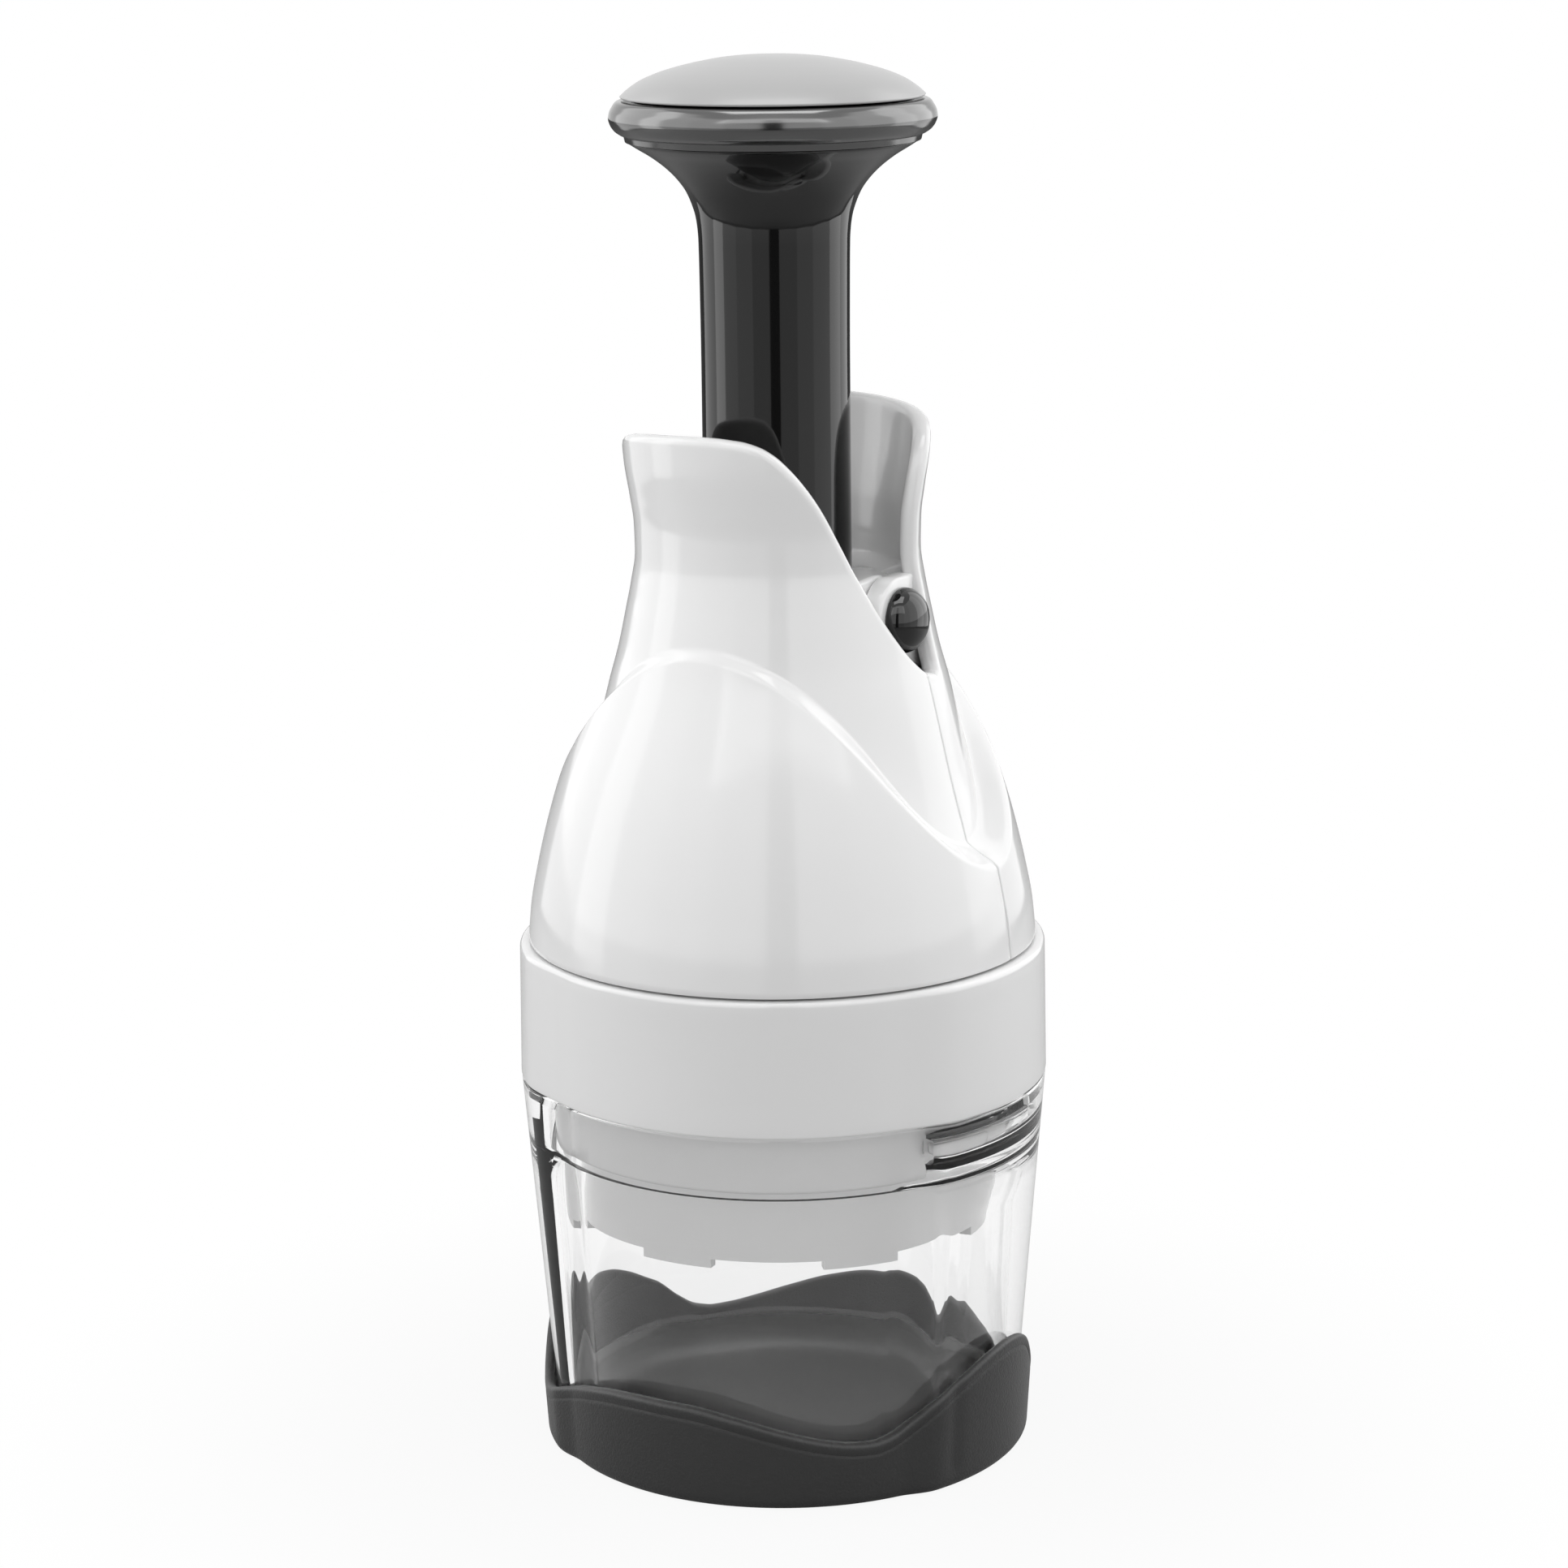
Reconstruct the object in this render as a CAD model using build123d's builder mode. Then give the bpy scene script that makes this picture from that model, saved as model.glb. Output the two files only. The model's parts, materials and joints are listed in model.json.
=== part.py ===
from build123d import *

import os
from math import cos, radians, sin

# Plunger food chopper.  Units are millimetres, +Z is up, and the origin is the centre of the
# underside of the rubber base.  The two wing shells hinge on the X axis, the front one on the -Y side.

os.makedirs("parts", exist_ok=True)

# The collar drives the width of everything round it
collar_radius = 45.7      # front arc

# Plan of the base, jar and collar: a circle with two opposed wings
wing_start = -29.0        # degrees from +X to the first edge of a wing
wing_span = 80.0          # degrees along a wing

# Rubber base
base_radius = collar_radius - 3.5  # front arc at the foot
base_bulge = 1.4          # how far a wing stands proud
base_flare = 1.5          # growth of the radius from foot to rim
base_height = 23.5        # highest crest of the rim
base_floor = 3.0
base_foot_round = 1.6
base_recess_radius = base_radius - 8  # hollow of the underside, which leaves a foot ring
base_recess_depth = 0.8
rim_dip = 11.5            # lowest point of the wavy rim
rim_shoulder = 18.0       # height of the gentle stretch of the rim
rim_turn = -2.0           # degrees from +X to a crest of the rim

# Clear jar
jar_clearance = 0.3       # gap between the jar and the rubber
jar_foot_radius = collar_radius - 6.3  # front arc at the foot
jar_shoulder_radius = collar_radius - 0.9
jar_bulge = 2.1
jar_shoulder = 68.2       # height of the shoulder under the collar
jar_spigot_height = 5.8
jar_spigot_radius = collar_radius - 2.3
jar_mouth_radius = jar_spigot_radius - 2.9  # inside, round the skirt
jar_inner_top_radius = jar_mouth_radius - 1.5
jar_inner_foot_radius = jar_foot_radius - 2.6
jar_floor = 4.8
jar_foot_round = 4.0
jar_inner_round = 5.0

# Collar ring and the guide skirt inside it
collar_gap = 0.2          # between the jar's shoulder and the collar
collar_height = 24.1
collar_bulge = 1.3
collar_draft = 0.3        # loss of radius from bottom to top
collar_wall_radius = jar_spigot_radius + 0.4  # inside, round the jar's spigot
collar_web = 2.5
collar_edge_round = 1.0
skirt_radius = jar_mouth_radius - 1.1
skirt_wall = 1.6
skirt_bottom = 57.2
skirt_ledge = 2.0
skirt_upstand = 4.7       # above the collar

# Bayonet between skirt and jar
lug_start = -26.0
lug_span = 18.0
lug_height = 3.8
lug_radius = jar_spigot_radius + 0.6
lug_clearance = 0.4
unlock_turn = 34.0        # degrees the collar turns to free the lugs

# Stripper cup, which turns with the blades
stripper_radius = skirt_radius - skirt_wall - 1.8
stripper_wall = 2.0
stripper_bottom = 44.0
stripper_floor = 3.0
stripper_flange = 2.2
stripper_tooth_count = 7
stripper_tooth_drop = 1.6
stripper_tooth_span = 21.0

# Blades
carrier_radius = stripper_radius - stripper_wall - 1.0
stroke = 37.0
blade_thickness = 0.6
blade_slot_clearance = 0.35
blade_tip_height = stripper_bottom + 2.0
blade_embed = 3.0
blade_bend_radius = 1.2
inner_blade_offset = 9.5
inner_blade_swing = 4.5
inner_blade_reach = 0.82 * carrier_radius
outer_blade_offset = 0.68 * carrier_radius
outer_blade_swing = 4.0
outer_blade_reach = 0.485 * carrier_radius
turn_per_stroke = 30.0    # degrees

# Blade carrier and drive rod
carrier_bottom = blade_tip_height + 41.0
carrier_thickness = 4.0
carrier_hub_radius = 7.0
carrier_hub_height = 2.2
nut_radius = 5.4
nut_height = 3.0
rod_radius = 3.0
rod_head_radius = 4.3
rod_head_height = 2.0
clip_radius = 4.7
clip_height = 1.2
running_gap = 0.05
groove_radius = 1.2
follower_radius = 0.75
follower_depth = 0.6      # how far the follower reaches into the rod

# Head frame
plate_radius = skirt_radius + 0.6
plate_thickness = 3.0
post_radius = 11.0
post_wall = 2.7
post_top = 172.0
plug_height = 5.6         # solid foot of the post
bush_radius = 5.5
bush_flange_radius = 7.2
bush_flange = 1.2
tower_radius = 15.8
tower_wall = 2.4
tower_flange_radius = 24.0
tower_flange = 2.4
disc_radius = 19.8
disc_thickness = 1.4
disc_top = 157.2
disc_flat = 17.4          # the disc is cut flat beside the hinge ears
disc_screw_circle = 17.0
disc_screw_angle = 65.0
disc_boss_height = 10.0
disc_screw_length = 8.0   # below the disc

# Hinge of the two wing shells
hinge_height = 151.2
hinge_pin_radius = 2.0
hinge_boss_radius = 4.4
hinge_boss_end = 17.4
ear_radius = 7.4
ear_thickness = 1.9
ear_gap = 0.3
arm_reach = 15.5
arm_drop = 6.2
cap_radius = 5.7
cap_depth = 4.5
cap_round = 1.2
notch_radius = 9.4
open_angle = 10.0         # degrees each shell swings out

# Wing shells
shell_wall = 3.0
shell_top = 185.5
shell_bottom_radius = collar_radius - 0.6
belly_radius = shell_bottom_radius - 3.4
belly_height = 112.5
shoulder_radius = shell_bottom_radius - 10.3
shoulder_height = 132.4
waist_radius = 24.9
waist_height = 162.0
lip_radius = 26.8
neck_foot_radius = shell_bottom_radius - 7.7
neck_foot_height = 110.0
neck_radius = 28.5
neck_height = 145.5
arch_peak = 148.3
arch_drop = 36.7          # from the peak to the sides
arch_half_width = 42.0
half_gap = 0.1            # each half stops this far from the parting plane
lobe_end = 5.3            # steep end of a lobe, from the parting plane
lobe_slope = 2.0          # rise over run of the sloping side
lobe_foot = 136.3         # where the slope would meet the parting plane

# Stem and knob
stem_radius = 12.95
stem_bottom = 143.0
hub_radius = 7.6
hub_length = 30.0
pocket_radius = hub_radius + 1.0
pocket_depth = 6.7
knob_radius = 28.2
flare_radius = knob_radius - 3.8
seam_radius = knob_radius - 1.9
knob_top = 247.2
dome_height = 7.1
rim_height = 7.4
belly_drop = 3.6          # from the seam down to the widest place
stem_flare_height = 16.7
knob_wall = 2.2
knob_screw_circle = 11.0
knob_screw_length = 7.5   # below the rim

# Return spring
spring_wire_radius = 0.65
spring_radius = 5.9
spring_coils = 9

# Small screws
screw_radius = 1.2
screw_head_radius = 2.2
screw_head_height = 1.5

# Heights that follow from the sizes above
seam_height = knob_top - dome_height
knob_belly = seam_height - belly_drop
flare_top = seam_height - rim_height
stem_straight_top = flare_top - stem_flare_height
stem_bore_top = stem_straight_top - 2.0
hub_top = flare_top - pocket_depth
hub_bottom = hub_top - hub_length
rod_top = hub_top + 2.4
jar_bottom = base_floor + 0.2
jar_inside_floor = jar_bottom + jar_floor
collar_bottom = jar_shoulder + collar_gap
collar_top = collar_bottom + collar_height
shell_bottom = collar_top + 0.3
skirt_top = collar_top + skirt_upstand
skirt_inner_radius = skirt_radius - skirt_wall
skirt_ledge_radius = stripper_radius + 0.3
lug_bottom = skirt_bottom + 4.0
flange_bottom = skirt_bottom + skirt_ledge + running_gap
flange_radius = skirt_inner_radius - 0.3
stripper_inner_radius = stripper_radius - stripper_wall
plate_bottom = skirt_top
plate_top = plate_bottom + plate_thickness
post_inner_radius = post_radius - post_wall
plug_top = plate_bottom + plug_height
bush_top = plug_top + bush_flange
follower_height = plate_top + 1.2
tower_bore_radius = tower_radius - tower_wall
disc_bottom = disc_top - disc_thickness
stem_bore_radius = post_radius + running_gap
stem_clearance_radius = stem_radius + 0.3
ear_inner_start = hinge_boss_end + ear_gap + 0.1
ear_outer_start = ear_inner_start + ear_thickness + ear_gap
ear_outer_end = ear_outer_start + ear_thickness
cap_start = ear_outer_end + ear_gap
cap_end = cap_start + cap_depth
spring_bottom = bush_top + 0.5
spring_height = hub_bottom - spring_bottom - 0.5
carrier_top = carrier_bottom + carrier_thickness
hub_end = carrier_top + carrier_hub_height
screw_circle = (tower_radius + tower_flange_radius) / 2 + 0.3


def save(solid, name):
    """Label a finished piece and write it to its own file."""
    solid.label = name
    export_step(solid, f"parts/{name}.step")


def radial_plane(angle):
    """Upright plane through the axis, with its x along the given direction."""
    return Plane(origin=(0, 0, 0), x_dir=(cos(radians(angle)), sin(radians(angle)), 0),
                 z_dir=(sin(radians(angle)), -cos(radians(angle)), 0))


def turned(*points):
    """Solid of revolution about the Z axis from a closed profile of (radius, height) points."""
    with BuildPart() as body:
        with BuildSketch(Plane.XZ):
            with BuildLine():
                Polyline(*points, close=True)
            make_face()
        revolve(axis=Axis.Z)
    return body.part


def winged_plan(height, radius, bulge, slant, corner):
    """Circle with two opposed wings; slant is half the angle that a wing's edge takes to rise."""
    with BuildSketch(Plane.XY.offset(height)) as plan:
        with BuildLine():
            arcs = []
            for turn in (0, 180):
                arcs.append(CenterArc((0, 0), radius + bulge, turn + wing_start + slant,
                                      wing_span - 2 * slant))
                arcs.append(CenterArc((0, 0), radius, turn + wing_start + wing_span + slant,
                                      180 - wing_span - 2 * slant))
            for arc, following in zip(arcs, arcs[1:] + arcs[:1]):
                Line(arc @ 1, following @ 0)
        make_face()
        fillet(plan.vertices(), corner)
    return plan.sketch


def winged_body(levels, bulge, slant, corner):
    """Solid through winged plans at the given (height, radius) levels."""
    with BuildPart() as body:
        loft([winged_plan(height, radius, bulge, slant, corner) for height, radius in levels],
             ruled=True)
    return body.part


def ring_sector(inner, outer, bottom, top, start, span):
    """Part of a ring between two angles."""
    with BuildPart() as sector:
        with BuildSketch(radial_plane(start)):
            with Locations(((inner + outer) / 2, (bottom + top) / 2)):
                Rectangle(outer - inner, top - bottom)
        revolve(axis=Axis.Z, revolution_arc=span)
    return sector.part


def jar_radius(height, clearance=0.0):
    """Radius of the jar's front arc at a height."""
    share = (height - jar_bottom) / (jar_shoulder - jar_bottom)
    return jar_foot_radius + share * (jar_shoulder_radius - jar_foot_radius) + clearance


# ---------------------------------------------------------------- rubber base

rim_limit = base_height + 2.0
base_rim_radius = base_radius + base_flare
rim_reach = base_rim_radius + base_bulge
with BuildPart() as rim_cut:
    with BuildSketch(radial_plane(rim_turn)):
        with BuildLine():
            wave = Spline((-rim_reach, base_height), (-0.72 * rim_reach, rim_shoulder + 0.6),
                          (0.05 * rim_reach, rim_shoulder), (0.5 * rim_reach, rim_dip + 3.6),
                          (0.74 * rim_reach, rim_dip), (0.92 * rim_reach, rim_dip + 6.0),
                          (rim_reach, base_height), tangents=((1, -0.6), (1, 0.6)))
            Polyline(wave @ 1, (rim_reach + 5, base_height), (rim_reach + 5, rim_limit + 5),
                     (-rim_reach - 5, rim_limit + 5), (-rim_reach - 5, base_height), wave @ 0)
        make_face()
    extrude(amount=rim_reach + 5)

with BuildPart() as rubber_base:
    add(winged_body([(0, base_radius - base_foot_round),
                     (0.3 * base_foot_round, base_radius - 0.3 * base_foot_round),
                     (base_foot_round, base_radius), (rim_limit, base_rim_radius)],
                    base_bulge, 3.5, 6.0))
    add(winged_body([(base_floor, jar_radius(base_floor, jar_clearance)),
                     (rim_limit + 1, jar_radius(rim_limit + 1, jar_clearance))],
                    jar_bulge, 1.6, 1.5), mode=Mode.SUBTRACT)
    add(rim_cut.part, mode=Mode.SUBTRACT)
    add(rim_cut.part.rotate(Axis.Z, 180), mode=Mode.SUBTRACT)
    with BuildSketch():
        Circle(base_recess_radius)
    extrude(amount=base_recess_depth, mode=Mode.SUBTRACT)
save(rubber_base.part, "rubber_base")

# ---------------------------------------------------------------- clear jar

cavity_top = skirt_bottom - 0.9
with BuildPart() as container:
    add(winged_body([(jar_bottom, jar_foot_radius - jar_foot_round),
                     (jar_bottom + 0.3 * jar_foot_round, jar_foot_radius - 0.3 * jar_foot_round),
                     (jar_bottom + jar_foot_round, jar_radius(jar_bottom + jar_foot_round)),
                     (jar_shoulder, jar_shoulder_radius)], jar_bulge, 1.6, 1.5))
    with BuildSketch(Plane.XY.offset(jar_shoulder)):
        Circle(jar_spigot_radius)
    extrude(amount=jar_spigot_height)
    with BuildSketch(Plane.XZ) as cavity:
        with BuildLine():
            Polyline((0, jar_inside_floor), (jar_inner_foot_radius, jar_inside_floor),
                     (jar_inner_top_radius, cavity_top), (jar_mouth_radius, cavity_top),
                     (jar_mouth_radius, jar_shoulder + jar_spigot_height + 1),
                     (0, jar_shoulder + jar_spigot_height + 1), close=True)
        make_face()
        fillet(cavity.vertices().sort_by(Axis.Y)[:2].sort_by(Axis.X)[-1], jar_inner_round)
    revolve(axis=Axis.Z, mode=Mode.SUBTRACT)
    slot_inner = jar_mouth_radius - 1
    slot_outer = lug_radius + lug_clearance
    for turn in (0, 180):
        add(ring_sector(slot_inner, slot_outer, lug_bottom - lug_clearance,
                        lug_bottom + lug_height + lug_clearance, turn + lug_start - 1.0,
                        lug_span + unlock_turn + 2.0), mode=Mode.SUBTRACT)
        add(ring_sector(slot_inner, slot_outer, lug_bottom - lug_clearance,
                        jar_shoulder + jar_spigot_height + 1, turn + lug_start + unlock_turn - 1.0,
                        lug_span + 2.0), mode=Mode.SUBTRACT)
save(container.part, "container")

# ---------------------------------------------------------------- collar ring

with BuildPart() as collar_ring:
    add(winged_body([(collar_bottom, collar_radius), (collar_top - collar_edge_round,
                                                      collar_radius - collar_draft),
                     (collar_top - 0.3 * collar_edge_round,
                      collar_radius - collar_draft - 0.3 * collar_edge_round),
                     (collar_top, collar_radius - collar_draft - collar_edge_round)],
                    collar_bulge, 7.0, 9.0))
    with BuildSketch(Plane.XY.offset(collar_bottom)):
        Circle(collar_wall_radius)
    extrude(amount=collar_height - collar_web, mode=Mode.SUBTRACT)
    with BuildSketch(Plane.XY.offset(collar_bottom)):
        Circle(skirt_radius)
    extrude(amount=collar_height, mode=Mode.SUBTRACT)
save(collar_ring.part, "collar_ring")

# ---------------------------------------------------------------- guide skirt

with BuildPart() as guide_skirt:
    add(turned((skirt_ledge_radius, skirt_bottom), (skirt_radius, skirt_bottom),
               (skirt_radius, skirt_top), (skirt_inner_radius, skirt_top),
               (skirt_inner_radius, skirt_bottom + skirt_ledge),
               (skirt_ledge_radius, skirt_bottom + skirt_ledge)))
    for turn in (0, 180):
        add(ring_sector(skirt_radius - 0.5 * skirt_wall, lug_radius, lug_bottom,
                        lug_bottom + lug_height, turn + lug_start, lug_span))
save(guide_skirt.part, "guide_skirt")


# ---------------------------------------------------------------- blades and stripper

def zigzag(offset, swing, reach, legs, width):
    """Two opposed zigzag strips in plan, each with rounded bends."""
    with BuildSketch() as strips:
        for side in (1, -1):
            with BuildLine() as path:
                points = [(side * (reach - 2 * reach * step / legs),
                           side * (offset + (swing if step % 2 else -swing)))
                          for step in range(legs + 1)]
                Polyline(*points)
                bends = [v for v in path.vertices() if abs(v.X) < reach - 0.5]
                fillet(bends, blade_bend_radius)
                offset_path = offset_2d_strip(path.wires()[0], width)
            add(offset_path)
    return strips.sketch


def offset_2d_strip(wire, width):
    """Flat strip of even width along an open wire."""
    with BuildSketch(mode=Mode.PRIVATE) as strip:
        trace(wire, line_width=width)
    return strip.sketch


inner_plan = zigzag(inner_blade_offset, inner_blade_swing, inner_blade_reach, 6, blade_thickness)
outer_plan = zigzag(outer_blade_offset, outer_blade_swing, outer_blade_reach, 4, blade_thickness)
slot_width = blade_thickness + 2 * blade_slot_clearance
inner_slots = zigzag(inner_blade_offset, inner_blade_swing,
                     inner_blade_reach + blade_slot_clearance, 6, slot_width)
outer_slots = zigzag(outer_blade_offset, outer_blade_swing,
                     outer_blade_reach + blade_slot_clearance, 4, slot_width)
blade_height = carrier_bottom + blade_embed - blade_tip_height

with BuildPart() as inner_blades:
    with BuildSketch(Plane.XY.offset(blade_tip_height)):
        add(inner_plan)
    extrude(amount=blade_height)
save(inner_blades.part, "inner_blades")

with BuildPart() as outer_blades:
    with BuildSketch(Plane.XY.offset(blade_tip_height)):
        add(outer_plan)
    extrude(amount=blade_height)
save(outer_blades.part, "outer_blades")

with BuildPart() as stripper_cup:
    add(turned((0, stripper_bottom), (stripper_radius, stripper_bottom),
               (stripper_radius, flange_bottom), (flange_radius, flange_bottom),
               (flange_radius, flange_bottom + stripper_flange),
               (stripper_inner_radius, flange_bottom + stripper_flange),
               (stripper_inner_radius, stripper_bottom + stripper_floor),
               (0, stripper_bottom + stripper_floor)))
    for tooth in range(stripper_tooth_count):
        add(ring_sector(stripper_inner_radius, stripper_radius, stripper_bottom - stripper_tooth_drop,
                        stripper_bottom + 0.5, tooth * 360 / stripper_tooth_count,
                        stripper_tooth_span))
    with BuildSketch(Plane.XY.offset(stripper_bottom - 1)):
        add(inner_slots)
        add(outer_slots)
    extrude(amount=stripper_floor + 2, mode=Mode.SUBTRACT)
save(stripper_cup.part, "stripper_cup")

with BuildPart() as blade_carrier:
    add(turned((rod_radius, carrier_bottom), (carrier_radius, carrier_bottom),
               (carrier_radius, carrier_top), (carrier_hub_radius, carrier_top),
               (carrier_hub_radius, hub_end), (rod_radius, hub_end)))
    add(inner_blades.part, mode=Mode.SUBTRACT)
    add(outer_blades.part, mode=Mode.SUBTRACT)
save(blade_carrier.part, "blade_carrier")

with BuildPart() as carrier_nut:
    with BuildSketch(Plane.XY.offset(hub_end)):
        RegularPolygon(nut_radius, 6)
        Circle(rod_radius, mode=Mode.SUBTRACT)
    extrude(amount=nut_height)
save(carrier_nut.part, "carrier_nut")

# ---------------------------------------------------------------- drive rod

groove_margin = 2.0
groove_pitch = stroke * 360 / turn_per_stroke
with BuildPart() as groove:
    with BuildLine() as groove_path:
        Helix(groove_pitch, stroke + 2 * groove_margin, rod_radius, lefthand=True)
    with BuildSketch(Plane(origin=groove_path.line @ 0, z_dir=groove_path.line % 0)):
        Circle(groove_radius)
    sweep(path=groove_path.line)
groove_turn = groove_margin * turn_per_stroke / stroke
placed_groove = Pos(0, 0, follower_height - groove_margin) * Rot(0, 0, groove_turn) * groove.part

with BuildPart() as drive_rod:
    add(turned((0, carrier_bottom - rod_head_height), (rod_head_radius, carrier_bottom - rod_head_height),
               (rod_head_radius, carrier_bottom), (rod_radius, carrier_bottom),
               (rod_radius, rod_top - 0.6), (rod_radius - 0.6, rod_top), (0, rod_top)))
    add(placed_groove, mode=Mode.SUBTRACT)
save(drive_rod.part, "drive_rod")

with BuildPart() as rod_clips:
    for bottom in (hub_top + 0.3, hub_bottom - 0.3 - clip_height):
        with BuildSketch(Plane.XY.offset(bottom)):
            Circle(clip_radius)
            Circle(rod_radius, mode=Mode.SUBTRACT)
        extrude(amount=clip_height)
save(rod_clips.part, "rod_clips")

# ---------------------------------------------------------------- guide frame

with BuildPart() as guide_frame:
    add(turned((bush_radius, plate_bottom), (plate_radius, plate_bottom), (plate_radius, plate_top),
               (post_radius, plate_top), (post_radius, post_top), (post_inner_radius, post_top),
               (post_inner_radius, plug_top), (bush_radius, plug_top)))
    with BuildSketch(Plane.XY.offset(plate_bottom)):
        with PolarLocations(screw_circle, 4, start_angle=45):
            Circle(screw_radius)
    extrude(amount=plate_thickness, mode=Mode.SUBTRACT)
    with BuildSketch(Plane.YZ.offset(bush_radius - 1)):
        with Locations((0, follower_height)):
            Circle(follower_radius)
    extrude(amount=post_radius, mode=Mode.SUBTRACT)
save(guide_frame.part, "guide_frame")

with BuildPart() as rod_bush:
    add(turned((rod_radius + running_gap, plate_bottom), (bush_radius, plate_bottom),
               (bush_radius, plug_top), (bush_flange_radius, plug_top),
               (bush_flange_radius, bush_top), (rod_radius + running_gap, bush_top)))
    with BuildSketch(Plane.YZ):
        with Locations((0, follower_height)):
            Circle(follower_radius)
    extrude(amount=post_radius, mode=Mode.SUBTRACT)
save(rod_bush.part, "rod_bush")

with BuildPart() as follower_pin:
    with BuildSketch(Plane.YZ.offset(rod_radius - follower_depth)):
        with Locations((0, follower_height)):
            Circle(follower_radius)
    extrude(amount=post_radius - rod_radius + follower_depth - 0.1)
save(follower_pin.part, "follower_pin")

with BuildPart() as pivot_tower:
    add(turned((tower_bore_radius, plate_top), (tower_flange_radius, plate_top),
               (tower_flange_radius, plate_top + tower_flange),
               (tower_radius, plate_top + tower_flange), (tower_radius, disc_bottom),
               (tower_bore_radius, disc_bottom)))
    with BuildSketch(Plane.YZ.offset(-hinge_boss_end)):
        with Locations((0, hinge_height)):
            Circle(hinge_boss_radius)
    extrude(amount=2 * hinge_boss_end)
    with BuildSketch(Plane.XY.offset(disc_bottom - disc_boss_height)):
        with PolarLocations(disc_screw_circle, 2, start_angle=disc_screw_angle):
            Circle(screw_head_radius)
    extrude(amount=disc_boss_height)
    with BuildSketch(Plane.XY.offset(plate_top)):
        Circle(tower_bore_radius)
    extrude(amount=disc_bottom - plate_top, mode=Mode.SUBTRACT)
    with BuildSketch(Plane.YZ.offset(-hinge_boss_end)):
        with Locations((0, hinge_height)):
            Circle(hinge_pin_radius)
    extrude(amount=2 * hinge_boss_end, mode=Mode.SUBTRACT)
    with BuildSketch(Plane.XY.offset(plate_top)):
        with PolarLocations(screw_circle, 4, start_angle=45):
            Circle(screw_radius)
    extrude(amount=tower_flange, mode=Mode.SUBTRACT)
    with BuildSketch(Plane.XY.offset(disc_bottom - disc_screw_length)):
        with PolarLocations(disc_screw_circle, 2, start_angle=disc_screw_angle):
            Circle(screw_radius)
    extrude(amount=disc_screw_length, mode=Mode.SUBTRACT)
save(pivot_tower.part, "pivot_tower")

with BuildPart() as frame_screws:
    with BuildSketch(Plane.XY.offset(plate_bottom + 0.4)):
        with PolarLocations(screw_circle, 4, start_angle=45):
            Circle(screw_radius)
    extrude(amount=plate_thickness + tower_flange - 0.4)
    with BuildSketch(Plane.XY.offset(plate_top + tower_flange)):
        with PolarLocations(screw_circle, 4, start_angle=45):
            Circle(screw_head_radius)
    extrude(amount=screw_head_height)
save(frame_screws.part, "frame_screws")

with BuildPart() as neck_disc:
    with BuildSketch(Plane.XY.offset(disc_bottom)):
        Circle(disc_radius)
        Rectangle(2 * disc_flat, 2 * disc_radius, mode=Mode.INTERSECT)
        Circle(stem_clearance_radius, mode=Mode.SUBTRACT)
        with PolarLocations(disc_screw_circle, 2, start_angle=disc_screw_angle):
            Circle(screw_radius, mode=Mode.SUBTRACT)
    extrude(amount=disc_thickness)
save(neck_disc.part, "neck_disc")

with BuildPart() as disc_screws:
    with BuildSketch(Plane.XY.offset(disc_bottom - disc_screw_length)):
        with PolarLocations(disc_screw_circle, 2, start_angle=disc_screw_angle):
            Circle(screw_radius)
    extrude(amount=disc_screw_length + disc_thickness)
    with BuildSketch(Plane.XY.offset(disc_top)):
        with PolarLocations(disc_screw_circle, 2, start_angle=disc_screw_angle):
            Circle(screw_head_radius)
    extrude(amount=0.6 * screw_head_height)
save(disc_screws.part, "disc_screws")

# ---------------------------------------------------------------- hinge

pin_start = tower_bore_radius + 0.2
with BuildPart() as hinge_pins:
    for side in (1, -1):
        with BuildSketch(Plane.YZ.offset(side * pin_start)):
            with Locations((0, hinge_height)):
                Circle(hinge_pin_radius)
        extrude(amount=side * (cap_end - 1.5 - pin_start))
save(hinge_pins.part, "hinge_pins")

with BuildPart() as pin_caps:
    for side in (1, -1):
        with BuildSketch(Plane.YZ.offset(side * cap_start)):
            with Locations((0, hinge_height)):
                Circle(cap_radius)
        extrude(amount=side * cap_depth)
    outer_rims = pin_caps.edges().filter_by(lambda e: abs(abs(e.center().X) - cap_end) < 0.01)
    fillet(outer_rims, cap_round)
    add(hinge_pins.part, mode=Mode.SUBTRACT)
save(pin_caps.part, "pin_caps")


# ---------------------------------------------------------------- wing shells

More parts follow.
